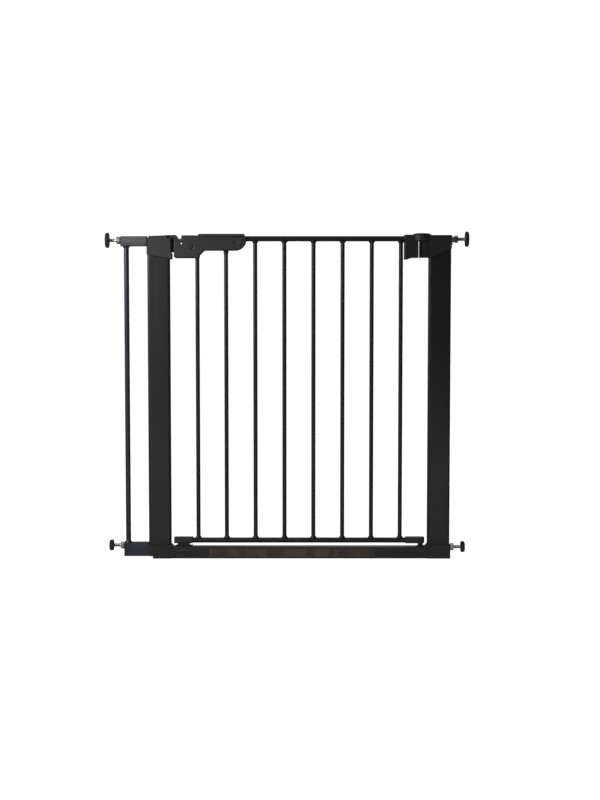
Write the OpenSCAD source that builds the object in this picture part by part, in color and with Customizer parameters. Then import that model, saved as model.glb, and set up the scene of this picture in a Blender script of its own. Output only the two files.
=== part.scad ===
// Pressure-mounted baby safety gate with a lift-and-swing door, one side extension
// and four adjustable spindles. Millimetres, +Z up, the front looks along -Y.
// The origin is on the floor under the middle of the whole gate, pads included.
// Every module works from the middle of the doorway; at_frame() puts it in place.

/* [Doorway] */
// Clear width between the two posts
passage_w = 580; // [500:5:700]
// Height of the frame's top corners above the floor
frame_h = 728; // [600:1:900]

/* [Posts and threshold] */
// Width of each upright post, seen from the front
post_w = 50; // [42:1:60]
// Depth of each upright post, front to back
post_d = 25; // [22:0.5:30]
// Wall of the post and threshold tubes
tube_wall = 1.5; // [1:0.1:2.5]
// Corner radius of the post tube
post_r = 5; // [2:0.5:8]
// Height of the threshold rail
rail_h = 26; // [22:0.5:32]
// Depth of the threshold rail
rail_d = 30; // [27:0.5:38]
// Corner radius of the threshold tube
rail_r = 3; // [1:0.5:6]
// How far a corner foot stands above the threshold rail
foot_rise = 5; // [2:0.5:10]
// How far the right foot stands out past its post
foot_lip = 1.8; // [0:0.1:5]
// Radius of the fillet between a foot and the threshold
fillet_r = 8; // [2:0.5:8]

/* [Top corner housings] */
// Depth of the two top housings
housing_d = 34; // [32:0.5:40]
// Height of the latch keeper on the left post
keeper_h = 51; // [46:1:60]
// How far the keeper stands into the doorway
keeper_reach = 4.8; // [3:0.1:6]
// How far the housings stand out past the posts
housing_lip = 0.4; // [0.2:0.1:3]

/* [Hinge] */
// Distance from the right post to the hinge axis
hinge_inset = 15; // [14:0.5:18]
// Diameter of the round knuckle on top of the hinge wing
knuckle_d = 42; // [40:0.5:44]
// Height of the knuckle
knuckle_h = 13; // [12:0.5:16]
// Diameter of the frame's hinge barrel
barrel_d = 13; // [12:0.5:14]
// Diameter of the steel hinge pin
pin_d = 6; // [5:0.5:7]
// Outer diameter of the hinge bush
bush_d = 12; // [11:0.5:13]
// Diameter of the lower hinge foot
foot_pin_d = 12; // [10:0.5:13]
// Width of the hinge wing on the door
wing_w = 31.3; // [28:0.1:36]
// How far the door lifts before it swings
door_lift = 10; // [6:0.5:10]

/* [Door] */
// Thickness of the door's plastic parts, front to back
door_d = 26; // [24:0.5:27]
// Diameter of the door's top and bottom rails
door_rail_d = 12; // [11:0.5:13]
// Diameter of the door's upright bars
bar_d = 9.5; // [8:0.25:11]
// Wall of the door's tubes
bar_wall = 1.2; // [0.8:0.1:2]
// Height of the bottom rail's centre above the floor
door_rail_low = 40; // [38:0.5:44]
// Thickness of the lower blocks, front to back
block_d = 18; // [16:0.5:20]
// Height of the lower blocks
block_h = 13.5; // [13:0.5:15]

/* [Latch and handle] */
// Gap between the left post and the lock housing
lock_gap = 9.7; // [9:0.1:12]
// Width of the lock housing
lock_w = 57.3; // [55:0.1:64]
// Height of the lock housing
lock_h = 50.5; // [49:0.5:56]
// Length of the handle grip past the lock housing
grip_l = 104.4; // [98:0.2:120]
// Height of the handle shells
grip_h = 30; // [28:0.1:34]
// Height of the thumb slide on top of the handle
slide_h = 6.5; // [6:0.1:8]
// Travel of the thumb slide
slide_travel = 8; // [5:0.5:8]
// Wall of the handle shells
shell_wall = 2.5; // [2:0.1:3]

/* [Side extension] */
// Width that the extension adds at the top
ext_w = 60; // [52:1:76]
// How much shorter the extension's foot tube is
ext_foot_short = 4.1; // [0:0.1:5]
// Diameter of the extension's top tube
ext_top_d = 23.2; // [20:0.1:24]
// Height of the extension's foot tube
ext_foot_h = 30; // [26:0.5:32]
// Depth of the extension's foot tube
ext_foot_d = 26; // [24:0.5:30]
// Diameter of the extension's upright bar
ext_bar_d = 11.5; // [9:0.25:14]

/* [Spindles] */
// Diameter of the threaded spindle rods
rod_d = 8; // [7:0.5:9]
// Width across the flats of the adjusting nuts
nut_af = 14.5; // [13:0.5:15]
// Length of the adjusting nuts
nut_l = 7.6; // [6:0.1:10]
// Length of rod inside the frame
rod_inside = 28; // [24:1:28]
// How far each upper pad's face stands off the right housing
reach_top_right = 39.3; // [36:0.1:46]
// How far the upper left pad's face stands off the extension
reach_top_left = 34; // [32:0.1:46]
// How far the lower right pad's face stands off the foot
reach_low_right = 33.9; // [32:0.1:46]
// How far the lower left pad's face stands off the extension
reach_low_left = 34.4; // [33:0.1:46]
// Diameter of the two upper wall pads
pad_top_d = 34; // [30:0.5:38]
// Thickness of the two upper wall pads
pad_top_l = 7.5; // [6:0.5:9]
// Diameter of the two lower wall pads
pad_low_d = 25; // [22:0.5:28]
// Thickness of the two lower wall pads
pad_low_l = 9; // [8:0.5:10]

/* [Hidden] */
$fn = 48;

// Clearances
slip = 0.15;        // between pieces pushed together by hand
run = 0.05;         // radial, between a shaft and its bearing
air = 1;            // between moving pieces that never touch
eps = 0.01;         // overshoot of a cut

// Frame, from the middle of the doorway
post_in = passage_w / 2;
post_out = post_in + post_w;
foot_h = rail_h + foot_rise;
post_top = frame_h - 22;
housing_out = post_out + housing_lip;
spindle_top_z = frame_h - 8.5;
spindle_low_z = rail_h - 1;
spindle_ext_top_z = spindle_top_z - 2.6;
spindle_ext_low_z = rail_h + 2.7;
spigot_l = 20;

// Keeper
keeper_top = frame_h - 1;
keeper_bottom = frame_h - keeper_h;
keeper_face = post_in - keeper_reach;
keeper_x_relief = -(keeper_face + 2);
hook_rest = frame_h - 7;

// Hinge
hinge_x = post_in - hinge_inset;
barrel_r = barrel_d / 2;
barrel_top = frame_h - 13;
barrel_bottom = frame_h - 50;
knuckle_r = knuckle_d / 2;
knuckle_z = barrel_top + air;
knuckle_top = knuckle_z + knuckle_h;
cap_rise = 4;
wing_drop = 4;
wing_right = hinge_x - barrel_r - 1.9;
wing_left = wing_right - wing_w;
bush_rib = 0.8;
bush_rib_l = 2;

// Lock housing and handle
lock_x0 = -(post_in - lock_gap);
lock_x1 = lock_x0 + lock_w;
lock_z1 = frame_h - 0.3;
lock_z0 = lock_z1 - lock_h;
notch_x = lock_x0 + 17;
notch_z = lock_z1 - 7.7;
grip_x1 = lock_x1 + grip_l;
grip_z1 = frame_h - 4;
grip_z0 = grip_z1 - grip_h;
grip_round = 25;
slide_x0 = lock_x1 - 3.2;
slide_x1 = grip_x1 - 3.4;
slide_z0 = grip_z1 + 0.3;
slide_z1 = slide_z0 + slide_h;
slide_skin = 3.6;
slide_room = 0.5;
bolt_d = 9.8;
bolt_z0 = notch_z - 30;
bolt_z1 = notch_z - 3;
bolt_x0 = keeper_x_relief + air - 0.2;
bolt_x1 = lock_x0 + 28.3;
rivet = [lock_x0 + 18.8, lock_z1 - 19.5];
rivet_r = 2;
link_z = lock_z1 - 17.2;
link_w = 6;
link_t = 2.2;
link_y = bolt_d / 2 + 0.3;
link_pins = [bolt_x1 - 3.5, slide_x0 + 67];
link_pin_r = 2;
leg_w = 12;
spring_x1 = lock_x0 + 42.3;
spring_z = bolt_z0 + 4;
spring_r = 2.6;
spring_wire = 0.8;
spring_turns = 6;

// Door
door_hd = door_d / 2;
rail_r_door = door_rail_d / 2;
door_rail_z = frame_h - 7.5;
block_z = door_rail_low + 0.5 - block_h / 2;
bar_r = bar_d / 2;
bar_count = 8;
bar_first = lock_x1 - 5.4;
bar_last = wing_left - 7.2;
bar_set_in = 1;
bar_pitch = (bar_last - bar_first + bar_set_in) / (bar_count - 1);
latch_block_x0 = -(post_in - 6.5);
latch_block_w = 42.5;
neck_w = 26.7;
hinge_block_w = 34;
catch_w = 39;
catch_top = rail_h + 1.4;
socket_r = 9;
socket_flange = 2;
socket_top = rail_h + 1.2;
foot_taper = 3;
foot_tip = rail_h - door_lift - foot_taper - 3;

// Handle screws: [x, z, true when the head is at the front]
handle_screw_spots = [
    [lock_x0 + 41.1, lock_z0 + 23.5, true],
    [lock_x0 + 9.5, lock_z0 + 6.2, false],
    [lock_x1 + 33, grip_z0 + 6.2, false],
    [lock_x1 + 83, grip_z0 + 7, false]
];
screw_r = 1.5;
screw_head_r = 3;
screw_head_l = 1.8;
boss_r = 3.6;

// Extension, from the middle of the doorway
ext_top_x = -(post_out + ext_w);
ext_low_x = ext_top_x + ext_foot_short;
ext_top_z = frame_h - 13.2;
ext_foot_z = 5;
ext_tongue = 9;
ext_bar_x = ext_top_x + 12.6;
ext_tube_wall = 1.5;
cap_flange = 2;
foot_cap_flange = 8;
cap_plug = 14;
stud_r = 4;
stud_inside = 24;
washer_l = 1;
ferrule_l = 7.3;

// Spindles: where each nut bears, outward direction and height
seat_gap = 0.2;
seat_top_left = ext_top_x - washer_l;
seat_low_left = ext_low_x - washer_l;
seat_top_right = housing_out + ferrule_l;
seat_low_right = post_out + foot_lip + washer_l;
face_top_left = ext_top_x - reach_top_left;
face_low_left = ext_low_x - reach_low_left;
face_top_right = housing_out + reach_top_right;
face_low_right = post_out + foot_lip + reach_low_right;
rod_grip = 4;

// The gate's middle is at the origin, so the doorway's middle is off it
reach_left = max(-face_top_left, -face_low_left);
reach_right = max(face_top_right, face_low_right);
doorway_x = (reach_left - reach_right) / 2;

// Colours
charcoal = "#2e3030";
plastic = "#3a3b3b";
grey_paint = "#6a6b70";
zinc = "#b8b8b4";
rubber = "#1c1d1d";
strip_brown = "#4b4038";

// ---------- Helpers ----------

// Puts a child drawn from the doorway's middle into the gate's own frame
module at_frame() {
    translate([doorway_x, 0, 0])
        children();
}

// Rounded rectangle about the origin with true arcs
module round_rect(w, h, r) {
    square([w - 2 * r, h], center = true);
    square([w, h - 2 * r], center = true);
    for (sx = [-1, 1], sy = [-1, 1])
        translate([sx * (w / 2 - r), sy * (h / 2 - r)])
            circle(r);
}

// Box from a low corner to a high corner
module block(low, high) {
    translate(low)
        cube(high - low);
}

// Flat outline in X and Z, pushed from y0 to y1
module pushed(y0, y1) {
    translate([0, y1, 0])
        rotate([90, 0, 0])
            linear_extrude(y1 - y0)
                children();
}

// Round bar along X from x0 to x1 at height z
module x_rod(x0, x1, z, r, y = 0) {
    translate([min(x0, x1), y, z])
        rotate([0, 90, 0])
            cylinder(r = r, h = abs(x1 - x0));
}

// Round bar along Y from y0 to y1 at [x, z]
module y_rod(spot, y0, y1, r) {
    translate([spot[0], y1, spot[1]])
        rotate([90, 0, 0])
            cylinder(r = r, h = y1 - y0);
}

// Round bar along Z from z0 to z1 at x
module z_rod(x, z0, z1, r) {
    translate([x, 0, z0])
        cylinder(r = r, h = z1 - z0);
}

// ---------- Frame ----------

// One hollow post standing on its foot; side is -1 on the left and 1 on the right
module post(side) {
    middle = side * (post_in + post_w / 2);
    difference() {
        translate([middle, 0, foot_h])
            linear_extrude(post_top - foot_h)
                difference() {
                    round_rect(post_w, post_d, post_r);
                    round_rect(post_w - 2 * tube_wall, post_d - 2 * tube_wall, post_r - tube_wall);
                }
        y_rod([middle, post_top - 8], 0, post_d, screw_r + slip);
    }
}

module left_post() {
    color(charcoal)
        at_frame()
            post(-1);
}

module right_post() {
    color(charcoal)
        at_frame()
            post(1);
}

// Corner foot: block under the post with a spigot up the post and one along the rail
module corner_foot(outer) {
    inside = post_w - 2 * tube_wall - 2 * slip;
    difference() {
        union() {
            block([post_in, -rail_d / 2, 0], [outer, rail_d / 2, foot_h]);
            translate([post_in + post_w / 2, 0, foot_h - eps])
                linear_extrude(spigot_l)
                    round_rect(inside, post_d - 2 * tube_wall - 2 * slip, post_r - tube_wall);
            rail_section_run(post_in - spigot_l, post_in + eps, tube_wall + slip);
            difference() {
                block([post_in - fillet_r, -rail_d / 2, rail_h + slip / 2],
                      [post_in + eps, rail_d / 2, foot_h]);
                y_rod([post_in - fillet_r, rail_h + fillet_r], -rail_d, rail_d, fillet_r);
            }
        }
        x_rod(outer - rod_inside - 12, outer + eps, spindle_low_z, rod_d / 2 + 2 * slip);
    }
}

// Threshold section, made smaller all round by inset, from x0 to x1
module rail_section_run(x0, x1, inset) {
    translate([x0, 0, rail_h / 2])
        rotate([90, 0, 90])
            linear_extrude(x1 - x0)
                round_rect(rail_d - 2 * inset, rail_h - 2 * inset, max(rail_r - inset, 0.5));
}

module left_foot() {
    color(charcoal)
        at_frame()
            mirror([1, 0, 0])
                difference() {
                    corner_foot(post_out - ext_tongue);
                    // cut for the post's outer wall, which stands past this foot
                    block([post_out - ext_tongue, -post_d, foot_h],
                          [post_out + 1, post_d, foot_h + spigot_l + 1]);
                }
}

module right_foot() {
    color(charcoal)
        at_frame()
            difference() {
                corner_foot(post_out + foot_lip);
                z_rod(hinge_x, -1, rail_h + 1, socket_r + slip);
                z_rod(hinge_x, rail_h, socket_top + slip, socket_r + socket_flange + slip);
            }
}

module threshold_rail() {
    color(charcoal)
        at_frame()
            difference() {
                rail_section_run(-post_in, post_in, 0);
                rail_section_run(-post_in - 1, post_in + 1, tube_wall);
                z_rod(hinge_x, rail_h / 2, rail_h + 1, socket_r + slip);
            }
}

// Plain printed strip on the front of the threshold, with no lettering
module threshold_strip() {
    strip_l = 374;
    strip_h = rail_h - 7;
    strip_t = 0.3;
    color(strip_brown)
        at_frame()
            translate([-16, -rail_d / 2, rail_h / 2])
                rotate([90, 0, 0])
                    linear_extrude(strip_t)
                        round_rect(strip_l, strip_h, 1.5);
}

// Cap over the left post's top; the door's hook lies on its open inner corner
module latch_keeper() {
    out = -housing_out;
    face = -keeper_face;
    color(plastic)
        at_frame()
            difference() {
                pushed(-housing_d / 2, housing_d / 2)
                    polygon([
                        [out, keeper_bottom + 8],
                        [-post_in - 1, keeper_bottom],
                        [face - 5, keeper_bottom - 2],
                        [face, keeper_bottom - 2],
                        [face, bolt_z0 - 2],
                        [keeper_x_relief, bolt_z0 - 0.5],
                        [keeper_x_relief, hook_rest],
                        [-post_in - 4.4, hook_rest],
                        [-post_in - 4.4, keeper_top + 1],
                        [-post_in - 12, keeper_top],
                        [out + 4.5, keeper_top - 1],
                        [out, keeper_top - 27]
                    ]);
                post_socket(-1);
                x_rod(out - 1, out + stud_inside + 1, spindle_top_z, stud_r + slip);
                y_rod([-(post_in + post_w / 2), post_top - 8], 0, housing_d, screw_r + slip);
                y_rod([-(post_in + post_w / 2), post_top - 8],
                      housing_d / 2 - screw_head_l, housing_d, screw_head_r + slip);
            }
}

// Space for a post's top inside its housing
module post_socket(side) {
    translate([side * (post_in + post_w / 2), 0, foot_h])
        linear_extrude(post_top + slip - foot_h)
            round_rect(post_w + 2 * slip, post_d + 2 * slip, post_r + slip);
}

// Cap over the right post's top with the hinge barrel on its inner side
module hinge_housing() {
    out = housing_out;
    color(plastic)
        at_frame()
            difference() {
                union() {
                    difference() {
                        pushed(-housing_d / 2, housing_d / 2)
                            polygon([
                                [post_in, barrel_bottom],
                                [post_in + 4.5, barrel_bottom],
                                [out, barrel_bottom + 20],
                                [out, frame_h],
                                [post_in, frame_h]
                            ]);
                        z_rod(hinge_x, barrel_top, frame_h + 1, knuckle_r + air);
                    }
                    z_rod(hinge_x, barrel_bottom, barrel_top, barrel_r);
                    block([hinge_x, -barrel_r, barrel_bottom], [post_in + eps, barrel_r, barrel_top]);
                    pushed(-6, 6)
                        polygon([
                            [out - eps, frame_h - 24],
                            [out + 4.5, frame_h - 17.5],
                            [out - eps, frame_h - 17.5]
                        ]);
                }
                post_socket(1);
                x_rod(out - rod_inside - 10, out + 1, spindle_top_z, rod_d / 2 + 2 * slip);
                z_rod(hinge_x, barrel_top - 25, barrel_top + 1, pin_d / 2 + run);
                y_rod([post_in + post_w / 2, post_top - 8], 0, housing_d, screw_r + slip);
                y_rod([post_in + post_w / 2, post_top - 8],
                      housing_d / 2 - screw_head_l, housing_d, screw_head_r + slip);
            }
}

// One screw from the back through a housing into its post
module housing_screws() {
    color(zinc)
        at_frame()
            for (side = [-1, 1]) {
                spot = [side * (post_in + post_w / 2), post_top - 8];
                y_rod(spot, post_d / 2 - 6, housing_d / 2 - screw_head_l + eps, screw_r);
                y_rod(spot, housing_d / 2 - screw_head_l, housing_d / 2 - 0.2, screw_head_r);
            }
}

// Steel pin: round in the barrel, six-sided where the bush slides on it
module hinge_pin() {
    color(zinc)
        at_frame() {
            z_rod(hinge_x, barrel_top - 24, barrel_top + 0.5, pin_d / 2);
            translate([hinge_x, 0, barrel_top + 0.5 - eps])
                cylinder(r = pin_d / 2, h = knuckle_h - 0.5, $fn = 6);
        }
}

// Plastic saddle on the threshold under the door's latch side
module lower_catch() {
    x0 = latch_block_x0 + 2.2;
    color(plastic)
        at_frame()
            difference() {
                block([x0, -rail_d / 2 - 1.5, rail_h - 9], [x0 + catch_w, rail_d / 2 + 1.5, catch_top]);
                rail_section_run(x0 - 1, x0 + catch_w + 1, -slip);
                translate([x0 + 13, 0, catch_top - 1])
                    linear_extrude(2)
                        round_rect(18, 9, 2);
            }
}

// Flanged bush in the threshold for the door's lower hinge foot
module lower_hinge_socket() {
    color(plastic)
        at_frame()
            difference() {
                union() {
                    z_rod(hinge_x, tube_wall + slip, rail_h + 2 * eps, socket_r);
                    z_rod(hinge_x, rail_h + eps, socket_top, socket_r + socket_flange);
                }
                z_rod(hinge_x, foot_tip - air, socket_top + 1, foot_pin_d / 2 + run);
            }
}

// ---------- Side extension ----------

module extension_top_tube() {
    color(grey_paint)
        at_frame()
            difference() {
                x_rod(ext_top_x + cap_flange, -housing_out - cap_flange, ext_top_z, ext_top_d / 2);
                x_rod(ext_top_x - 1, -housing_out + 1, ext_top_z, ext_top_d / 2 - ext_tube_wall);
            }
}

// Section of the extension's foot tube, smaller all round by inset
module ext_foot_run(x0, x1, inset) {
    translate([x0, 0, ext_foot_z + ext_foot_h / 2])
        rotate([90, 0, 90])
            linear_extrude(x1 - x0)
                round_rect(ext_foot_d - 2 * inset, ext_foot_h - 2 * inset, 3 - inset);
}

module extension_foot_tube() {
    color(grey_paint)
        at_frame()
            difference() {
                ext_foot_run(ext_low_x + foot_cap_flange, -post_out - cap_flange, 0);
                ext_foot_run(ext_low_x, -post_out, ext_tube_wall);
            }
}

// Upright bar, coped onto the round tube above and standing on the foot tube
module extension_bar() {
    z0 = ext_foot_z + ext_foot_h;
    flare = 2;
    color(grey_paint)
        at_frame()
            difference() {
                union() {
                    z_rod(ext_bar_x, z0, ext_top_z, ext_bar_d / 2);
                    translate([ext_bar_x, 0, z0])
                        cylinder(r1 = ext_bar_d / 2 + flare, r2 = ext_bar_d / 2, h = flare);
                    translate([ext_bar_x, 0, ext_top_z - ext_top_d / 2 - flare])
                        cylinder(r1 = ext_bar_d / 2, r2 = ext_bar_d / 2 + flare, h = 2 * flare);
                }
                z_rod(ext_bar_x, z0 - 1, ext_top_z, ext_bar_d / 2 - bar_wall);
                x_rod(ext_top_x - 1, -post_out, ext_top_z, ext_top_d / 2);
            }
}

// Plugs in the extension's outer ends, which guide the left spindles
module extension_outer_caps() {
    color(plastic)
        at_frame() {
            difference() {
                union() {
                    x_rod(ext_top_x, ext_top_x + cap_flange, ext_top_z, ext_top_d / 2);
                    x_rod(ext_top_x, ext_top_x + cap_plug, ext_top_z,
                          ext_top_d / 2 - ext_tube_wall - slip);
                }
                x_rod(ext_top_x - 1, ext_top_x + cap_plug + 1, spindle_ext_top_z,
                      rod_d / 2 + 2 * slip);
            }
            difference() {
                union() {
                    ext_foot_run(ext_low_x, ext_low_x + foot_cap_flange, 0);
                    ext_foot_run(ext_low_x, ext_low_x + cap_plug, ext_tube_wall + slip);
                }
                x_rod(ext_low_x - 1, ext_low_x + cap_plug + 1, spindle_ext_low_z,
                      rod_d / 2 + 2 * slip);
            }
        }
}

// Plugs in the extension's inner ends, which hold the joining studs
module extension_inner_caps() {
    tongue_top = foot_h - slip;
    color(plastic)
        at_frame() {
            difference() {
                union() {
                    x_rod(-housing_out - cap_flange, -housing_out, ext_top_z, ext_top_d / 2);
                    x_rod(-housing_out - cap_plug, -housing_out, ext_top_z,
                          ext_top_d / 2 - ext_tube_wall - slip);
                }
                x_rod(-housing_out - cap_plug - 1, -housing_out + 1, spindle_top_z, stud_r + slip);
            }
            difference() {
                union() {
                    ext_foot_run(-post_out - cap_flange, -post_out, 0);
                    ext_foot_run(-post_out - cap_plug, -post_out, ext_tube_wall + slip);
                    block([-post_out - eps, -ext_foot_d / 2, ext_foot_z],
                          [-post_out + ext_tongue, ext_foot_d / 2, tongue_top]);
                }
                x_rod(-post_out - cap_plug - 1, -post_out + ext_tongue + 1, spindle_low_z,
                      stud_r + slip);
            }
        }
}

// Studs that join the extension to the frame, in the holes that a spindle would use
module extension_studs() {
    color(zinc)
        at_frame() {
            x_rod(-housing_out - cap_plug + 1, -housing_out + stud_inside, spindle_top_z, stud_r);
            x_rod(-post_out - cap_plug + 1, -post_out + ext_tongue + stud_inside, spindle_low_z, stud_r);
        }
}

// ---------- Spindles ----------

// Steel washers under three of the nuts
module spindle_washers() {
    seats = [
        [ext_top_x - washer_l, spindle_ext_top_z],
        [ext_low_x - washer_l, spindle_ext_low_z],
        [post_out + foot_lip, spindle_low_z]
    ];
    color(zinc)
        at_frame()
            for (seat = seats)
                difference() {
                    x_rod(seat[0], seat[0] + washer_l, seat[1], nut_af / 2);
                    x_rod(seat[0] - 1, seat[0] + washer_l + 1, seat[1], rod_d / 2 + slip);
                }
}

// Longer ferrule between the hinge housing and its nut
module spindle_ferrule() {
    color(zinc)
        at_frame()
            difference() {
                x_rod(housing_out, housing_out + ferrule_l, spindle_top_z, nut_af / 2);
                x_rod(housing_out - 1, housing_out + ferrule_l + 1, spindle_top_z, rod_d / 2 + slip);
            }
}

// Adjusting nut bearing on seat; side is -1 on the left and 1 on the right
module spindle_nut(side, seat, z) {
    inner = seat + side * seat_gap;
    color(zinc)
        at_frame()
            difference() {
                translate([min(inner, inner + side * nut_l), 0, z])
                    rotate([0, 90, 0])
                        cylinder(d = nut_af / cos(30), h = nut_l, $fn = 6);
                x_rod(inner - nut_l - 1, inner + nut_l + 1, z, rod_d / 2 + run);
            }
}

// Rod from inside the frame to its grip in the pad
module spindle_rod(side, mouth, face, pad_l, z) {
    color(zinc)
        at_frame()
            x_rod(mouth - side * rod_inside, face - side * (pad_l - rod_grip), z, rod_d / 2);
}

// Rubber pad: a dished disc with a rounded rim, a hub behind it and a blind hole for the rod
module wall_pad(side, face, pad_d, pad_l, z) {
    r = pad_d / 2;
    disc = pad_l * 0.55;
    rim = disc / 2;
    hub = r * 0.5;
    color(rubber)
        at_frame()
            translate([face, 0, z])
                rotate([0, -90 * side, 0])
                    difference() {
                        union() {
                            rotate_extrude()
                                difference() {
                                    union() {
                                        square([r - rim, disc]);
                                        translate([r - rim, rim])
                                            circle(rim);
                                    }
                                    translate([-r, 0])
                                        square([r, pad_l]);
                                }
                            translate([0, 0, disc - eps])
                                cylinder(r1 = hub + 1.5, r2 = hub, h = pad_l - disc + eps);
                        }
                        translate([0, 0, pad_l - rod_grip])
                            cylinder(r = rod_d / 2 + run, h = rod_grip + 1);
                    }
}

module nut_top_left() { spindle_nut(-1, seat_top_left, spindle_ext_top_z); }
module nut_top_right() { spindle_nut(1, seat_top_right, spindle_top_z); }
module nut_low_left() { spindle_nut(-1, seat_low_left, spindle_ext_low_z); }
module nut_low_right() { spindle_nut(1, seat_low_right, spindle_low_z); }

module rod_top_left() {
    spindle_rod(-1, ext_top_x, face_top_left, pad_top_l, spindle_ext_top_z);
}
module rod_top_right() {
    spindle_rod(1, housing_out, face_top_right, pad_top_l, spindle_top_z);
}
module rod_low_left() {
    spindle_rod(-1, ext_low_x, face_low_left, pad_low_l, spindle_ext_low_z);
}
module rod_low_right() {
    spindle_rod(1, post_out + foot_lip, face_low_right, pad_low_l, spindle_low_z);
}

module pad_top_left() { wall_pad(-1, face_top_left, pad_top_d, pad_top_l, spindle_ext_top_z); }
module pad_top_right() { wall_pad(1, face_top_right, pad_top_d, pad_top_l, spindle_top_z); }
module pad_low_left() { wall_pad(-1, face_low_left, pad_low_d, pad_low_l, spindle_ext_low_z); }
module pad_low_right() { wall_pad(1, face_low_right, pad_low_d, pad_low_l, spindle_low_z); }

// ---------- Hinge side of the door ----------

// Bush that slides up the six-sided pin with the door and that the door turns on
module hinge_bush() {
    color("white")
        at_frame()
            difference() {
                union() {
                    z_rod(hinge_x, knuckle_z, knuckle_top, bush_d / 2);
                    z_rod(hinge_x, knuckle_z + 5, knuckle_z + 5 + bush_rib_l, bush_d / 2 + bush_rib);
                }
                translate([hinge_x, 0, knuckle_z - 1])
                    cylinder(r = pin_d / 2 + slip, h = knuckle_h + 2, $fn = 6);
            }
}

// Door's upper hinge arm: a hollowed wing with a round knuckle on top
module hinge_wing() {
    color(plastic)
        at_frame()
            difference() {
                union() {
                    translate([(wing_left + wing_right) / 2, 0, barrel_bottom - wing_drop])
                        linear_extrude(knuckle_top - barrel_bottom + wing_drop)
                            round_rect(wing_w, door_d, 2.5);
                    block([wing_left + 4, -door_hd, knuckle_z], [hinge_x, door_hd, knuckle_top]);
                    z_rod(hinge_x, knuckle_z, knuckle_top, knuckle_r);
                }
                z_rod(hinge_x, barrel_bottom - 1, knuckle_z, barrel_r + 1.7);
                // the lower edge rises towards the barrel
                pushed(-door_d, door_d)
                    polygon([
                        [wing_left + 5, barrel_bottom - wing_drop - 1],
                        [wing_left + 5, barrel_bottom - wing_drop],
                        [wing_left + 18, barrel_bottom],
                        [wing_right + 1, barrel_bottom],
                        [wing_right + 1, barrel_bottom - wing_drop - 1]
                    ]);
                z_rod(hinge_x, knuckle_z - 1, knuckle_top + 1, bush_d / 2 + run);
                z_rod(hinge_x, knuckle_z + 5 - 0.1, knuckle_z + 5.1 + bush_rib_l,
                      bush_d / 2 + bush_rib + 2 * run);
                x_rod(wing_left - 1, wing_left + 18, door_rail_z, rail_r_door + run);
                // recessed panel on the front face
                block([wing_left + 4.5, -door_hd - 1, barrel_bottom - 1],
                      [wing_right - 5, -door_hd + 1, barrel_bottom + 30]);
            }
}

// Shallow dome that covers the bush: a disc with a wide bevel and a flat crown
module hinge_cap() {
    cap_r = knuckle_r - 0.5;
    edge = 1;
    color(plastic)
        at_frame()
            translate([hinge_x, 0, knuckle_top])
                rotate_extrude()
                    polygon([
                        [0, 0],
                        [cap_r, 0],
                        [cap_r, edge],
                        [cap_r - 3, 0.55 * cap_rise],
                        [cap_r - 10, 0.9 * cap_rise],
                        [0, cap_rise]
                    ]);
}

// Block on the bottom rail's hinge end with the round foot that turns in the socket
module lower_hinge_block() {
    x0 = hinge_x - hinge_block_w;
    color(plastic)
        at_frame()
            difference() {
                union() {
                    block([x0, -block_d / 2, block_z], [hinge_x, block_d / 2, block_z + block_h]);
                    z_rod(hinge_x, block_z, block_z + block_h, block_d / 2);
                    z_rod(hinge_x, foot_tip + foot_taper, block_z + eps, foot_pin_d / 2);
                    translate([hinge_x, 0, foot_tip])
                        cylinder(r1 = foot_pin_d / 2 - foot_taper, r2 = foot_pin_d / 2,
                                 h = foot_taper + eps);
                }
                x_rod(x0 - 1, x0 + 18, door_rail_low, rail_r_door + run);
            }
}

// ---------- Door ----------

module door_top_rail() {
    x0 = lock_x1 - 10;
    x1 = wing_left + 17;
    color(charcoal)
        at_frame()
            door_tube(x0, x1, door_rail_z);
}

module door_bottom_rail() {
    x0 = latch_block_x0 + latch_block_w - 16;
    x1 = hinge_x - hinge_block_w + 16;
    color(charcoal)
        at_frame()
            door_tube(x0, x1, door_rail_low);
}

module door_tube(x0, x1, z) {
    difference() {
        x_rod(x0, x1, z, rail_r_door);
        x_rod(x0 - 1, x1 + 1, z, rail_r_door - bar_wall);
    }
}

// Bars stand at an even pitch; the first one, under the lock housing, is set in a little
function bar_x(i) = i == 0 ? bar_first : bar_last - (bar_count - 1 - i) * bar_pitch;

// Upright bar with weld flares, coped onto both rails
module door_bar(i) {
    x = bar_x(i);
    flare = 1.5;
    low = door_rail_low;
    high = door_rail_z;
    color(charcoal)
        at_frame()
            difference() {
                union() {
                    z_rod(x, low, high, bar_r);
                    translate([x, 0, low + rail_r_door - flare])
                        cylinder(r1 = bar_r + flare, r2 = bar_r, h = 3 * flare);
                    if (i > 1)
                        translate([x, 0, high - rail_r_door - 2 * flare])
                            cylinder(r1 = bar_r, r2 = bar_r + flare, h = 3 * flare);
                }
                z_rod(x, low - 1, high + 1, bar_r - bar_wall);
                x_rod(x - 20, x + 20, low, rail_r_door);
                x_rod(x - 20, x + 20, high, rail_r_door);
                block([x - 20, -20, low - 10], [x + 20, 20, low]);
                block([x - 20, -20, high], [x + 20, 20, high + 10]);
            }
}

module door_bar_1() { door_bar(0); }
module door_bar_2() { door_bar(1); }
module door_bar_3() { door_bar(2); }
module door_bar_4() { door_bar(3); }
module door_bar_5() { door_bar(4); }
module door_bar_6() { door_bar(5); }
module door_bar_7() { door_bar(6); }
module door_bar_8() { door_bar(7); }

// Ring on the second bar just under the grip
module bar_collar() {
    top = grip_z0 - 0.5;
    color(plastic)
        at_frame()
            difference() {
                z_rod(bar_x(1), top - 6, top, bar_r + 1.2);
                z_rod(bar_x(1), top - 7, top + 1, bar_r + run);
            }
}

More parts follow.
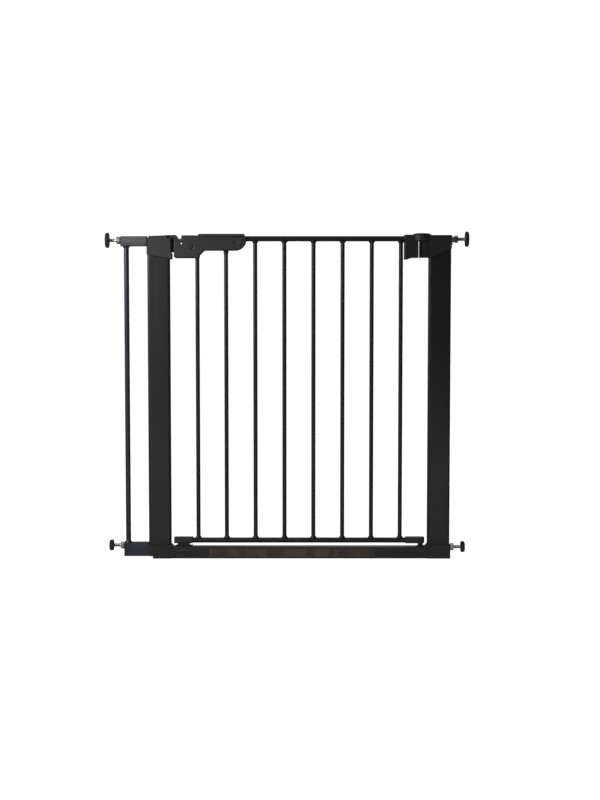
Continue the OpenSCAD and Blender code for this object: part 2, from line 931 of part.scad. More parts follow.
// Block on the bottom rail's latch end with a neck over the catch
module lower_latch_block() {
    x0 = latch_block_x0;
    color(plastic)
        at_frame()
            difference() {
                union() {
                    block([x0, -block_d / 2, block_z], [x0 + latch_block_w, block_d / 2, block_z + block_h]);
                    block([x0 + 8.2, -block_d / 2 + 2, catch_top + 0.6],
                          [x0 + 8.2 + neck_w, block_d / 2 - 2, block_z + eps]);
                }
                x_rod(x0 + latch_block_w - 18, x0 + latch_block_w + 1, door_rail_low,
                      rail_r_door + run);
            }
}

// ---------- Handle, lock housing and thumb slide ----------

// Outline of the lock housing and grip in X and Z, made smaller all round by inset
module handle_outline(inset) {
    i = inset;
    lock_r = 4.5;
    difference() {
        translate([(lock_x0 + lock_x1) / 2, (lock_z0 + lock_z1) / 2])
            round_rect(lock_w - 2 * i, lock_h - 2 * i, lock_r - i);
        translate([lock_x0 - 1, notch_z - i])
            square([notch_x + i - lock_x0 + 1, lock_h]);
        translate([slide_x0 - slide_room - i, grip_z1 - i])
            square([lock_w, slide_h]);
    }
    translate([lock_x1 - 10, grip_z0 + i])
        square([grip_x1 - grip_round - lock_x1 + 10, grip_h - 2 * i]);
    intersection() {
        translate([grip_x1 - grip_round, grip_z0 + grip_round])
            circle(grip_round - i);
        translate([grip_x1 - grip_round - 1, grip_z0])
            square([grip_round + 2, grip_h - i]);
    }
    polygon([
        [lock_x1 - 8, lock_z0 + 1 + i],
        [lock_x1 - 1.4 * i, lock_z0 + 5.5 + i],
        [lock_x1 + 8.5 - 1.4 * i, grip_z0 - 2.4 + i],
        [lock_x1 + 13 - 1.4 * i, grip_z0 + i + eps],
        [lock_x1 - 8, grip_z0 + 8]
    ]);
}

// Everything that passes through the shells
module handle_openings() {
    bolt_room = bolt_d / 2 + 0.4;
    rail_room = rail_r_door + slip;
    // rail, straight out of the grip's end, with an open top
    x_rod(lock_x1 - 12, grip_x1 + 5, door_rail_z, rail_room);
    // the two bars that end inside
    z_rod(bar_x(0), lock_z0 - 2, door_rail_z, bar_r + slip);
    z_rod(bar_x(1), lock_z0 - 2, door_rail_z, bar_r + slip);
    // nose of the bolt, out of the left wall and up into the notch
    block([lock_x0 - 2, -bolt_room, bolt_z0 - 0.5], [lock_x0 + shell_wall + 1, bolt_room, lock_z1 + 1]);
    block([lock_x0 - 2, -bolt_room, bolt_z1 - 1], [notch_x + 1, bolt_room, lock_z1 + 1]);
    // open top under the thumb slide
    block([slide_x0 + 4, -door_hd + shell_wall, grip_z1 - 8],
          [slide_x1 - 8, door_hd - shell_wall, grip_z1 + 1]);
    y_rod(rivet, -door_d, door_d, rivet_r + run);
}

// One handle shell; side is -1 for the front and 1 for the back
module handle_shell(side) {
    inner = door_hd - shell_wall;
    module half(depth) {
        if (side < 0)
            pushed(-depth, 0) children();
        else
            pushed(0, depth) children();
    }
    difference() {
        union() {
            difference() {
                half(door_hd)
                    handle_outline(0);
                half(inner)
                    handle_outline(shell_wall);
            }
            for (spot = handle_screw_spots)
                intersection() {
                    y_rod(spot, -inner - eps, inner + eps, boss_r);
                    half(door_hd)
                        handle_outline(eps);
                }
            // wall behind the return spring
            half(inner + eps)
                translate([spring_x1, bolt_z0 - 3])
                    square([2, 13]);
        }
        handle_openings();
        for (spot = handle_screw_spots) {
            head_side = spot[2] ? -1 : 1;
            if (head_side == side) {
                y_rod(spot, -door_d, door_d, screw_r + slip);
                // dished recess for the head
                y_rod(spot, head_side * door_hd - 2, head_side * door_hd + 2,
                      screw_head_r + (spot[2] ? 2 : slip));
            } else
                y_rod(spot, -inner - 0.5, inner + 0.5, screw_r + run);
        }
    }
}

module handle_front_shell() {
    color(plastic)
        at_frame()
            handle_shell(-1);
}

module handle_back_shell() {
    color(plastic)
        at_frame()
            handle_shell(1);
}

// Screws that hold the two shells together
module handle_screws() {
    tip = door_hd - shell_wall;
    seat = door_hd - 2;
    color(rubber)
        at_frame()
            for (spot = handle_screw_spots) {
                head_side = spot[2] ? -1 : 1;
                y0 = head_side < 0 ? -seat : -tip;
                y1 = head_side < 0 ? tip : seat;
                y_rod(spot, y0, y1, screw_r);
                h0 = head_side < 0 ? -seat - screw_head_l : seat;
                y_rod(spot, h0, h0 + screw_head_l, screw_head_r);
            }
}

// Steel rivet through both shells; the bolt's slot slides along it
module latch_rivet() {
    head_l = 1;
    color(zinc)
        at_frame() {
            y_rod(rivet, -door_hd - eps, door_hd + eps, rivet_r);
            y_rod(rivet, -door_hd - head_l, -door_hd, 1.6 * rivet_r);
            y_rod(rivet, door_hd, door_hd + head_l, 1.6 * rivet_r);
        }
}

// Slide on top of the grip, with a leg down the inside of the back shell
module thumb_slide() {
    lip_y = rail_r_door + 1.6;
    leg_x0 = link_pins[1] - leg_w / 2;
    color(plastic)
        at_frame() {
            difference() {
                pushed(-door_hd, door_hd)
                    translate([(slide_x0 + slide_x1) / 2, (slide_z0 + slide_z1) / 2])
                        round_rect(slide_x1 - slide_x0, slide_h, 3);
                block([slide_x0 - 1, -lip_y, slide_z0 - 1],
                      [slide_x1 + 1, lip_y, slide_z1 - slide_skin]);
            }
            block([leg_x0, lip_y, link_z - link_w / 2],
                  [leg_x0 + leg_w, door_hd - shell_wall - 0.5, slide_z0 + 1]);
            y_rod([link_pins[1], link_z], link_y, lip_y + eps, link_pin_r);
        }
}

// Flat steel link from the slide's leg to the bolt
module slide_link() {
    color(zinc)
        at_frame()
            difference() {
                union() {
                    block([link_pins[0], link_y, link_z - link_w / 2],
                          [link_pins[1], link_y + link_t, link_z + link_w / 2]);
                    for (x = link_pins)
                        y_rod([x, link_z], link_y, link_y + link_t, link_w / 2);
                }
                for (x = link_pins)
                    y_rod([x, link_z], 0, link_y + link_t + 1, link_pin_r + slip);
            }
}

// Latch bolt: nose into the keeper, hook over its corner, slot for the rivet
module latch_bolt() {
    hook_x0 = bolt_x0 - 7.2;
    hook_x1 = notch_x - slide_travel - 0.3;
    slot_r = rivet_r + slip;
    color(plastic)
        at_frame()
            difference() {
                union() {
                    block([bolt_x0, -bolt_d / 2, bolt_z0], [bolt_x1, bolt_d / 2, bolt_z1]);
                    block([bolt_x0, -bolt_d / 2, bolt_z1 - eps], [hook_x1 - 0.5, bolt_d / 2, hook_rest + 1.5]);
                    pushed(-9, 9)
                        polygon([
                            [hook_x0, hook_rest + 0.5],
                            [hook_x0, lock_z1 + 0.7],
                            [hook_x1 - 5, lock_z1 + 1],
                            [hook_x1 - 2, lock_z1 - 1],
                            [hook_x1, hook_rest + 1.5],
                            [hook_x1, hook_rest + 0.5]
                        ]);
                    y_rod([link_pins[0], link_z], 0, link_y + link_t, link_pin_r);
                }
                block([rivet[0] - slide_travel, -bolt_d, rivet[1] - slot_r],
                      [rivet[0], bolt_d, rivet[1] + slot_r]);
                y_rod([rivet[0] - slide_travel, rivet[1]], -bolt_d, bolt_d, slot_r);
                y_rod(rivet, -bolt_d, bolt_d, slot_r);
            }
}

// Coil spring between the bolt's tail and the wall in the shells
module return_spring() {
    steps = 10;
    sides = 6;
    rings = spring_turns * steps;
    x0 = bolt_x1 + spring_wire / 2 + 0.1;
    length = spring_x1 - spring_wire / 2 - 0.1 - x0;
    function ring_point(k, s) =
        let (turn = 360 * k / steps, around = 360 * s / sides,
             r = spring_r + spring_wire / 2 * cos(around))
        [x0 + length * k / rings + spring_wire / 2 * sin(around), r * cos(turn), spring_z + r * sin(turn)];
    points = [for (k = [0 : rings], s = [0 : sides - 1]) ring_point(k, s)];
    walls = [
        for (k = [0 : rings - 1], s = [0 : sides - 1])
            let (n = (s + 1) % sides)
            [k * sides + s, k * sides + n, (k + 1) * sides + n, (k + 1) * sides + s]
    ];
    first = [for (s = [sides - 1 : -1 : 0]) s];
    last = [for (s = [0 : sides - 1]) rings * sides + s];
    color(zinc)
        at_frame()
            polyhedron(points, concat([first], walls, [last]));
}

left_post();
right_post();
left_foot();
right_foot();
threshold_rail();
threshold_strip();
latch_keeper();
hinge_housing();
housing_screws();
hinge_pin();
lower_catch();
lower_hinge_socket();
extension_top_tube();
extension_foot_tube();
extension_bar();
extension_outer_caps();
extension_inner_caps();
extension_studs();
spindle_washers();
spindle_ferrule();
hinge_bush();
door_top_rail();
door_bottom_rail();
door_bar_1();
door_bar_2();
door_bar_3();
door_bar_4();
door_bar_5();
door_bar_6();
door_bar_7();
door_bar_8();
bar_collar();
handle_front_shell();
handle_back_shell();
handle_screws();
latch_rivet();
hinge_wing();
hinge_cap();
lower_hinge_block();
lower_latch_block();
thumb_slide();
slide_link();
latch_bolt();
return_spring();
nut_top_left();
nut_top_right();
nut_low_left();
nut_low_right();
rod_top_left();
rod_top_right();
rod_low_left();
rod_low_right();
pad_top_left();
pad_top_right();
pad_low_left();
pad_low_right();
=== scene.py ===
"""Dresses a pressure-mounted baby gate: posts, extension, door, lock, hinges and spindles."""
from __future__ import annotations

import logging
import math
from dataclasses import dataclass, field
from enum import Enum
from typing import Any, Iterable, Sequence

import bmesh
import bpy
from mathutils import Matrix, Vector


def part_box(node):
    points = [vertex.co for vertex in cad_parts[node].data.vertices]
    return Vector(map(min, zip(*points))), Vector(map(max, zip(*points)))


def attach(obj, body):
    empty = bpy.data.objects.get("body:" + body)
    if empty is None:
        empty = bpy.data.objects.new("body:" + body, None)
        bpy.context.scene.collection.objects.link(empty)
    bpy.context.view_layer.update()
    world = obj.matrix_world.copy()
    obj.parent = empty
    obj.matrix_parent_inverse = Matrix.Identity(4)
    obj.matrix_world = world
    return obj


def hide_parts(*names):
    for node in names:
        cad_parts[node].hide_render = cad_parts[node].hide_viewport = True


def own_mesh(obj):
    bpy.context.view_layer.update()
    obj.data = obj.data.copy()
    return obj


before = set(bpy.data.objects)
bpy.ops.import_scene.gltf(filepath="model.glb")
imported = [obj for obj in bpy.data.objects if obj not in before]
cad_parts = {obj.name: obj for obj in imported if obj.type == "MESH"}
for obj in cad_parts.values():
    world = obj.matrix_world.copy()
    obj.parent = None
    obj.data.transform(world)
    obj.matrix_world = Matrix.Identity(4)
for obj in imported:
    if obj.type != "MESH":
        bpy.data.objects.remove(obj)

LOG = logging.getLogger("baby_gate")
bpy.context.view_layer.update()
SHARP_ANGLE = math.radians(35)

Flat = tuple[float, float]
Corner = tuple[float, float, float]
Point = tuple[float, float, float]
Colour = tuple[float, float, float]


class Body(Enum):
    """The moving groups of the gate."""

    FRAME = "frame"
    LIFT = "lift_bush"
    DOOR = "door"
    LATCH = "latch_slide"


class Axis(Enum):
    """The direction that an outline is pushed along or turned about."""

    X = 0
    Y = 1
    Z = 2

    def point(self, u: float, v: float, along: float) -> Point:
        """Places outline coordinates u and v at a distance along this axis.

        Args:
            u: First outline coordinate, X for outlines pushed along Y or Z, Y for X.
            v: Second outline coordinate, Z for outlines pushed along X or Y, Y for Z.
            along: Distance along the axis.

        Returns:
            The point in space.
        """
        if self is Axis.X:
            return (along, u, v)
        if self is Axis.Y:
            return (u, along, v)
        return (u, v, along)


# ---------- Node graphs ----------


@dataclass
class Wire:
    """An output socket that takes part in sums written as Python expressions."""

    graph: "Graph"
    socket: bpy.types.NodeSocket

    def _join(self, operation: str, left: Any, right: Any) -> "Wire":
        """Adds one Math node and returns its output."""
        node = self.graph.add("ShaderNodeMath", {"operation": operation}, {0: left, 1: right})
        return Wire(self.graph, node.outputs[0])

    def __add__(self, other: Any) -> "Wire":
        """Sum."""
        return self._join("ADD", self, other)

    def __radd__(self, other: Any) -> "Wire":
        """Reflected sum."""
        return self._join("ADD", other, self)

    def __sub__(self, other: Any) -> "Wire":
        """Difference."""
        return self._join("SUBTRACT", self, other)

    def __rsub__(self, other: Any) -> "Wire":
        """Reflected difference."""
        return self._join("SUBTRACT", other, self)

    def __mul__(self, other: Any) -> "Wire":
        """Product."""
        return self._join("MULTIPLY", self, other)

    def __rmul__(self, other: Any) -> "Wire":
        """Reflected product."""
        return self._join("MULTIPLY", other, self)

    def above(self, edge: float, softness: float) -> "Wire":
        """Mask that goes from 0 to 1 as this value passes an edge.

        Args:
            edge: Value at which the mask starts to rise.
            softness: How much further the value goes until the mask is 1.

        Returns:
            The mask, from 0 to 1.
        """
        node = self.graph.add(
            "ShaderNodeMapRange", {"clamp": True},
            {"Value": self, "From Min": edge, "From Max": edge + softness})
        return Wire(self.graph, node.outputs["Result"])


class Graph:
    """Adds nodes to a shader or geometry tree and links them."""

    def __init__(self, tree: bpy.types.NodeTree) -> None:
        """Starts on an existing tree.

        Args:
            tree: The tree that receives the nodes.
        """
        self.tree = tree

    def add(self, kind: str, settings: dict[str, Any] | None = None,
            sockets: dict[str | int, Any] | None = None) -> bpy.types.Node:
        """Adds a node, sets its properties first, then its sockets.

        Args:
            kind: The node's type name.
            settings: Property values, and "stops" for a colour ramp.
            sockets: Input values or wires by input name or number.

        Returns:
            The new node.
        """
        node = self.tree.nodes.new(kind)
        for key, value in (settings or {}).items():
            if key == "stops":
                self._set_stops(node.color_ramp, value)
            else:
                setattr(node, key, value)
        for key, value in (sockets or {}).items():
            if isinstance(value, Wire):
                self.tree.links.new(value.socket, node.inputs[key])
            elif isinstance(value, bpy.types.NodeSocket):
                self.tree.links.new(value, node.inputs[key])
            else:
                node.inputs[key].default_value = value
        return node

    def out(self, kind: str, settings: dict[str, Any] | None = None,
            sockets: dict[str | int, Any] | None = None, output: str | int = 0) -> Wire:
        """Adds a node as add() does and returns one of its outputs as a wire."""
        return Wire(self, self.add(kind, settings, sockets).outputs[output])

    def blend(self, mask: Any, low: Any, high: Any) -> Wire:
        """Mixes two colours by a mask.

        Args:
            mask: Wire or number from 0 to 1.
            low: Colour where the mask is 0.
            high: Colour where the mask is 1.

        Returns:
            The mixed colour.
        """
        node = self.add("ShaderNodeMix", {"data_type": "RGBA"}, {0: mask, 6: low, 7: high})
        return Wire(self, node.outputs[2])

    def noise(self, scale: float, detail: float = 3.0, stretch: Point = (1, 1, 1)) -> Wire:
        """Noise on object coordinates, which are metres here.

        Args:
            scale: Repeats for each metre.
            detail: Number of finer layers.
            stretch: Factor on each axis; below 1 draws the grain out along it.

        Returns:
            The noise value, about 0.5 on average.
        """
        place = self.out("ShaderNodeTexCoord", output="Object")
        turned = self.out("ShaderNodeMapping", sockets={"Vector": place, "Scale": stretch})
        return self.out("ShaderNodeTexNoise", {"noise_dimensions": "3D"},
                        {"Vector": turned, "Scale": scale, "Detail": detail}, "Fac")

    @staticmethod
    def _set_stops(ramp: bpy.types.ColorRamp, stops: Sequence[tuple[float, Colour]]) -> None:
        """Gives a colour ramp its stops."""
        while len(ramp.elements) < len(stops):
            ramp.elements.new(0.5)
        for element, (place, colour) in zip(ramp.elements, stops):
            element.position = place
            element.color = (*colour, 1.0)


# ---------- Finishes ----------


@dataclass(frozen=True)
class Finish:
    """What every finish shares: its name, its slot and how it starts a material."""

    name: str
    slot: str

    def start(self) -> tuple[bpy.types.Material, Graph]:
        """Makes an empty material and its graph.

        Returns:
            The material and the graph that fills it.
        """
        material = bpy.data.materials.new(self.name)
        material.use_nodes = True
        material.node_tree.nodes.clear()
        return material, Graph(material.node_tree)

    def close(self, graph: Graph, sockets: dict[str, Any], bump: Wire | None,
              height: float) -> None:
        """Adds the surface shader, its bump and the output.

        Args:
            graph: Graph of the material.
            sockets: Values and wires of the Principled shader.
            bump: Height of the fine relief, or None.
            height: Distance that a bump of 1 stands for, in metres.
        """
        if bump is not None:
            normal = graph.out("ShaderNodeBump", {}, {"Height": bump, "Strength": 1.0,
                                                      "Distance": height})
            sockets = {**sockets, "Normal": normal}
        shader = graph.out("ShaderNodeBsdfPrincipled", {}, sockets)
        graph.add("ShaderNodeOutputMaterial", {}, {"Surface": shader})

    def material(self) -> bpy.types.Material:
        """Builds the material."""
        raise NotImplementedError


@dataclass(frozen=True)
class PowderCoat(Finish):
    """Baked powder coat with orange peel, faint clouding and fine scuffs."""

    colour: Colour
    gloss_low: float
    gloss_high: float
    specular: float = 0.5

    def material(self) -> bpy.types.Material:
        """Builds the powder-coated surface.

        Returns:
            The finished material.
        """
        material, graph = self.start()
        peel = graph.noise(700.0, 2.0)
        cloud = graph.noise(9.0, 3.0)
        scuff = graph.noise(60.0, 5.0, (1.0, 1.0, 0.12)).above(0.62, 0.2)
        dust = graph.noise(1500.0, 1.0).above(0.72, 0.05)
        base = (*self.colour, 1.0)
        light = (*(min(1.0, c * 1.3 + 0.0012) for c in self.colour), 1.0)
        worn = (*(min(1.0, c * 1.7 + 0.005) for c in self.colour), 1.0)
        colour = graph.blend(cloud, base, light)
        colour = graph.blend(scuff * 0.35 + dust * 0.3, colour, worn)
        rough = cloud * (self.gloss_low - self.gloss_high) + self.gloss_high + scuff * 0.08
        self.close(graph, {"Base Color": colour, "Roughness": rough,
                           "Specular IOR Level": self.specular}, peel + scuff * 0.3, 0.000035)
        return material


@dataclass(frozen=True)
class MouldedPlastic(Finish):
    """Moulded plastic with a spark-eroded grain, flow marks and small rubbed spots."""

    colour: Colour
    roughness: float
    grain: float = 1600.0
    relief: float = 0.00005
    specular: float = 0.5

    def material(self) -> bpy.types.Material:
        """Builds the grained plastic.

        Returns:
            The finished material.
        """
        material, graph = self.start()
        grain = graph.noise(self.grain, 3.0)
        flow = graph.noise(22.0, 4.0, (0.4, 1.0, 1.0))
        rubbed = graph.noise(90.0, 4.0).above(0.6, 0.25)
        base = (*self.colour, 1.0)
        light = (*(min(1.0, c * 1.3 + 0.003) for c in self.colour), 1.0)
        colour = graph.blend(flow, base, light)
        colour = graph.blend(grain.above(0.55, 0.2) * 0.25, colour, light)
        rough = self.roughness + flow * 0.1 - rubbed * 0.1
        self.close(graph, {"Base Color": colour, "Roughness": rough,
                           "Specular IOR Level": self.specular}, grain, self.relief)
        return material


@dataclass(frozen=True)
class ZincPlate(Finish):
    """Bright zinc plate with a drawn grain, cloudy passivation and a few dull spots."""

    colour: Colour
    tint: Colour
    roughness: float
    along: Point = (0.06, 1.0, 1.0)

    def material(self) -> bpy.types.Material:
        """Builds the plated steel.

        Returns:
            The finished material.
        """
        material, graph = self.start()
        drawn = graph.noise(1400.0, 3.0, self.along)
        cloud = graph.noise(120.0, 4.0)
        dull = graph.noise(420.0, 3.0).above(0.64, 0.08)
        colour = graph.blend(cloud, (*self.colour, 1.0), (*self.tint, 1.0))
        colour = graph.blend(dull * 0.5, colour, (0.2, 0.2, 0.19, 1.0))
        rough = self.roughness + drawn * 0.16 + dull * 0.25
        metal = 1.0 - dull * 0.3
        self.close(graph, {"Base Color": colour, "Roughness": rough, "Metallic": metal},
                   drawn, 0.00003)
        return material


@dataclass(frozen=True)
class PadRubber(Finish):
    """Matt black rubber with pores and a grey bloom."""

    colour: Colour

    def material(self) -> bpy.types.Material:
        """Builds the rubber.

        Returns:
            The finished material.
        """
        material, graph = self.start()
        pores = graph.noise(1900.0, 4.0)
        bloom = graph.noise(140.0, 4.0).above(0.5, 0.3)
        colour = graph.blend(bloom * 0.4, (*self.colour, 1.0), (0.035, 0.035, 0.035, 1.0))
        rough = 0.72 + bloom * 0.15
        self.close(graph, {"Base Color": colour, "Roughness": rough,
                           "Specular IOR Level": 0.35}, pores, 0.00009)
        return material


@dataclass(frozen=True)
class PrintedFilm(Finish):
    """Plain film stuck to the threshold, dull brown with warmer patches and no lettering."""

    colour: Colour
    warm: Colour
    warm_until: float = 0.16

    def material(self) -> bpy.types.Material:
        """Builds the film.

        Returns:
            The finished material.
        """
        material, graph = self.start()
        place = graph.out("ShaderNodeTexCoord", output="Object")
        parts = graph.add("ShaderNodeSeparateXYZ", {}, {"Vector": place})
        along = Wire(graph, parts.outputs["X"])
        mottle = graph.noise(260.0, 5.0, (0.25, 1.0, 1.0))
        patch = graph.noise(38.0, 4.0, (1.0, 1.0, 0.3)).above(0.46, 0.12)
        warmth = patch * (1.0 - along.above(self.warm_until, 0.03))
        colour = graph.blend(mottle * 0.6, (*self.colour, 1.0),
                             (*(c * 0.45 for c in self.colour), 1.0))
        colour = graph.blend(warmth * mottle, colour, (*self.warm, 1.0))
        rough = 0.42 + mottle * 0.2
        self.close(graph, {"Base Color": colour, "Roughness": rough}, mottle, 0.00003)
        return material


@dataclass(frozen=True)
class StudioPaper(Finish):
    """Pale paper of the floor, almost even, lit from behind like a light table."""

    shade: float
    glow: float

    def material(self) -> bpy.types.Material:
        """Builds the paper.

        Returns:
            The finished material.
        """
        material, graph = self.start()
        fibre = graph.noise(3.0, 2.0)
        low = (self.shade * 0.99,) * 3
        high = (self.shade,) * 3
        colour = graph.blend(fibre, (*low, 1.0), (*high, 1.0))
        self.close(graph, {"Base Color": colour, "Roughness": 0.9, "Specular IOR Level": 0.1,
                           "Emission Color": (1.0, 1.0, 1.0, 1.0),
                           "Emission Strength": self.glow}, None, 0.0)
        return material


@dataclass
class Finishes:
    """Every finish of the gate, built once."""

    charcoal: PowderCoat = PowderCoat("charcoal_coat", "painted_steel",
                                      (0.0085, 0.0088, 0.0088), 0.34, 0.44, 0.35)
    # Both extension coats are one grey paint: the lighter copy on the top tube is painted light
    # from above, and the darker bluish copy on the foot tube and upright bar is painted shade.
    grey: PowderCoat = PowderCoat("extension_coat_painted_light", "grey_paint", (0.054, 0.054, 0.059), 0.30, 0.38)
    shaded_extension_coat: PowderCoat = PowderCoat("extension_coat_painted_shade", "grey_paint", (0.012, 0.0135, 0.021), 0.28, 0.36)
    shell: MouldedPlastic = MouldedPlastic("housing_plastic", "housing_plastic",
                                           (0.0110, 0.0113, 0.0113), 0.46, specular=0.4)
    # Darker plastic than the housings for the ring under the grip: painted shade that the grip
    # casts on it.
    painted_shade_plastic: MouldedPlastic = MouldedPlastic("ring_painted_shade", "housing_plastic",
                                          (0.006, 0.006, 0.006), 0.6)
    nylon: MouldedPlastic = MouldedPlastic("bush_nylon", "bush_plastic", (0.66, 0.66, 0.63), 0.4)
    zinc: ZincPlate = ZincPlate("zinc_plate", "zinc_steel", (0.62, 0.62, 0.6),
                                (0.5, 0.5, 0.46), 0.22)
    black_steel: PowderCoat = PowderCoat("black_steel", "black_screws",
                                         (0.012, 0.012, 0.012), 0.3, 0.4)
    rubber: PadRubber = PadRubber("pad_rubber", "pad_rubber", (0.010, 0.010, 0.010))
    film: PrintedFilm = PrintedFilm("printed_film", "printed_strip", (0.028, 0.020, 0.016),
                                    (0.085, 0.038, 0.027))
    paper: StudioPaper = StudioPaper("studio_paper", "", 0.3, 0.95)
    card: StudioPaper = StudioPaper("black_card", "", 0.012, 0.0)
    dome: StudioPaper = StudioPaper("white_dome", "", 0.1, 1.0)
    made: dict[str, bpy.types.Material] = field(default_factory=dict)

    def get(self, finish: Finish) -> bpy.types.Material:
        """Returns a finish's material, built on first use.

        Args:
            finish: The finish asked for.

        Returns:
            Its material.
        """
        if finish.name not in self.made:
            self.made[finish.name] = finish.material()
        return self.made[finish.name]


# ---------- Mesh making ----------


def new_object(name: str, mesh: bpy.types.Mesh) -> bpy.types.Object:
    """Links a new object that holds a mesh.

    Args:
        name: Object name.
        mesh: Its mesh.

    Returns:
        The object, at the origin.
    """
    piece = bpy.data.objects.new(name, mesh)
    bpy.context.scene.collection.objects.link(piece)
    return piece


def solid_from(name: str, points: Sequence[Point],
               faces: Sequence[Sequence[int]]) -> bpy.types.Object:
    """Makes an object from points and faces, with its normals outwards.

    Args:
        name: Object name.
        points: Vertex places in metres.
        faces: Vertex numbers of each face.

    Returns:
        The object.
    """
    mesh = bpy.data.meshes.new(name)
    mesh.from_pydata([tuple(p) for p in points], [], [tuple(f) for f in faces])
    shape = bmesh.new()
    shape.from_mesh(mesh)
    bmesh.ops.remove_doubles(shape, verts=shape.verts, dist=1e-6)
    bmesh.ops.recalc_face_normals(shape, faces=shape.faces)
    shape.to_mesh(mesh)
    shape.free()
    return new_object(name, mesh)


def rounded(corners: Sequence[Corner], steps: int = 6) -> list[Flat]:
    """Rounds the corners of a flat outline.

    Args:
        corners: Each corner's two coordinates and its radius.
        steps: Straight pieces of each quarter or so of arc.

    Returns:
        The outline's points in order.
    """
    loop: list[Flat] = []
    count = len(corners)
    for i, (x, y, radius) in enumerate(corners):
        here = Vector((x, y))
        before = Vector(corners[i - 1][:2])
        after = Vector(corners[(i + 1) % count][:2])
        if radius <= 0:
            loop.append((x, y))
            continue
        one, two = (before - here).normalized(), (after - here).normalized()
        half = one.angle(two) / 2
        reach = radius / math.tan(half)
        centre = here + (one + two).normalized() * (radius / math.sin(half))
        start, end = here + one * reach - centre, here + two * reach - centre
        turn = math.atan2(start.x * end.y - start.y * end.x, start.dot(end))
        for k in range(steps + 1):
            angle = turn * k / steps
            cos, sin = math.cos(angle), math.sin(angle)
            loop.append((centre.x + start.x * cos - start.y * sin,
                         centre.y + start.x * sin + start.y * cos))
    return loop


def inset(loop: Sequence[Flat], amount: float) -> list[Flat]:
    """Moves every point of an anticlockwise outline inwards along its own normal.

    Args:
        loop: Points of the outline in order.
        amount: Distance to move, in metres.

    Returns:
        The moved points.
    """
    moved: list[Flat] = []
    count = len(loop)
    for i, (x, y) in enumerate(loop):
        before = Vector((x, y)) - Vector(loop[i - 1])
        after = Vector(loop[(i + 1) % count]) - Vector((x, y))
        side = Vector((-after.y, after.x)).normalized()
        normal = (Vector((-before.y, before.x)).normalized() + side).normalized()
        stretch = 1.0 / max(0.5, normal.dot(side))
        moved.append((x + normal.x * amount * stretch, y + normal.y * amount * stretch))
    return moved


def slab(name: str, corners: Sequence[Corner], axis: Axis, low: float, high: float,
         rim_low: float, rim_high: float, steps: int = 5) -> bpy.types.Object:
    """Pushes a rounded outline along an axis, with rounded rims at its two ends.

    Args:
        name: Object name.
        corners: Outline corners, anticlockwise, each with its radius.
        axis: Direction of the push.
        low: Where it starts.
        high: Where it ends.
        rim_low: Radius of the rim at the start.
        rim_high: Radius of the rim at the end.
        steps: Pieces of each rim's quarter arc.

    Returns:
        The closed solid.
    """
    loop = rounded(corners)
    levels = [(low + rim_low * (1 - math.cos(math.pi / 2 * k / steps)),
               rim_low * (1 - math.sin(math.pi / 2 * k / steps))) for k in range(steps + 1)]
    levels += [(high - rim_high * (1 - math.sin(math.pi / 2 * k / steps)),
                rim_high * (1 - math.cos(math.pi / 2 * k / steps))) for k in range(steps + 1)]
    points: list[Point] = []
    for along, amount in levels:
        points += [axis.point(u, v, along) for u, v in inset(loop, amount)]
    count = len(loop)
    faces: list[list[int]] = []
    for ring in range(len(levels) - 1):
        base = ring * count
        for i in range(count):
            j = (i + 1) % count
            faces.append([base + i, base + j, base + count + j, base + count + i])
    faces.append(list(range(count - 1, -1, -1)))
    faces.append(list(range((len(levels) - 1) * count, len(levels) * count)))
    return solid_from(name, points, faces)


def lathe(name: str, profile: Sequence[Flat], origin: Point, axis: Axis,
          sides: int = 64, sign: float = 1.0) -> bpy.types.Object:
    """Turns a profile about an axis through a point.

    Args:
        name: Object name.
        profile: Radius and distance along the axis, from one end to the other.
        origin: Point that the axis passes through, at distance 0.
        axis: Direction of the axis.
        sides: Facets around.
        sign: 1 to measure distance along the axis, -1 against it.

    Returns:
        The closed solid.
    """
    points: list[Point] = []
    for radius, along in profile:
        for k in range(sides):
            angle = 2 * math.pi * k / sides
            local = axis.point(radius * math.cos(angle), radius * math.sin(angle), sign * along)
            points.append(tuple(a + b for a, b in zip(origin, local)))
    faces = [[r * sides + k, r * sides + (k + 1) % sides,
              (r + 1) * sides + (k + 1) % sides, (r + 1) * sides + k]
             for r in range(len(profile) - 1) for k in range(sides)]
    faces.append(list(range(sides)))
    faces.append(list(range((len(profile) - 1) * sides, len(profile) * sides)))
    return solid_from(name, points, faces)


def settle(piece: bpy.types.Object) -> bpy.types.Object:
    """Applies a piece's modifiers by taking its evaluated mesh.

    Args:
        piece: Object with live modifiers.

    Returns:
        The same object with a plain mesh.
    """
    bpy.context.view_layer.update()
    graph = bpy.context.evaluated_depsgraph_get()
    mesh = bpy.data.meshes.new_from_object(piece.evaluated_get(graph))
    piece.modifiers.clear()
    piece.data = mesh
    return piece


def carve(piece: bpy.types.Object, cutters: Sequence[bpy.types.Object],
          operation: str = "DIFFERENCE") -> bpy.types.Object:
    """Cuts, joins or meets a piece with others, which are used up.

    Args:
        piece: The piece that stays.
        cutters: The solids taken from it or added to it.
        operation: DIFFERENCE, UNION or INTERSECT.

    Returns:
        The piece.
    """
    for cutter in cutters:
        step = piece.modifiers.new("carve", "BOOLEAN")
        step.object = cutter
        step.operation = operation
        step.solver = "EXACT"
    settle(piece)
    for cutter in cutters:
        bpy.data.objects.remove(cutter)
    return piece


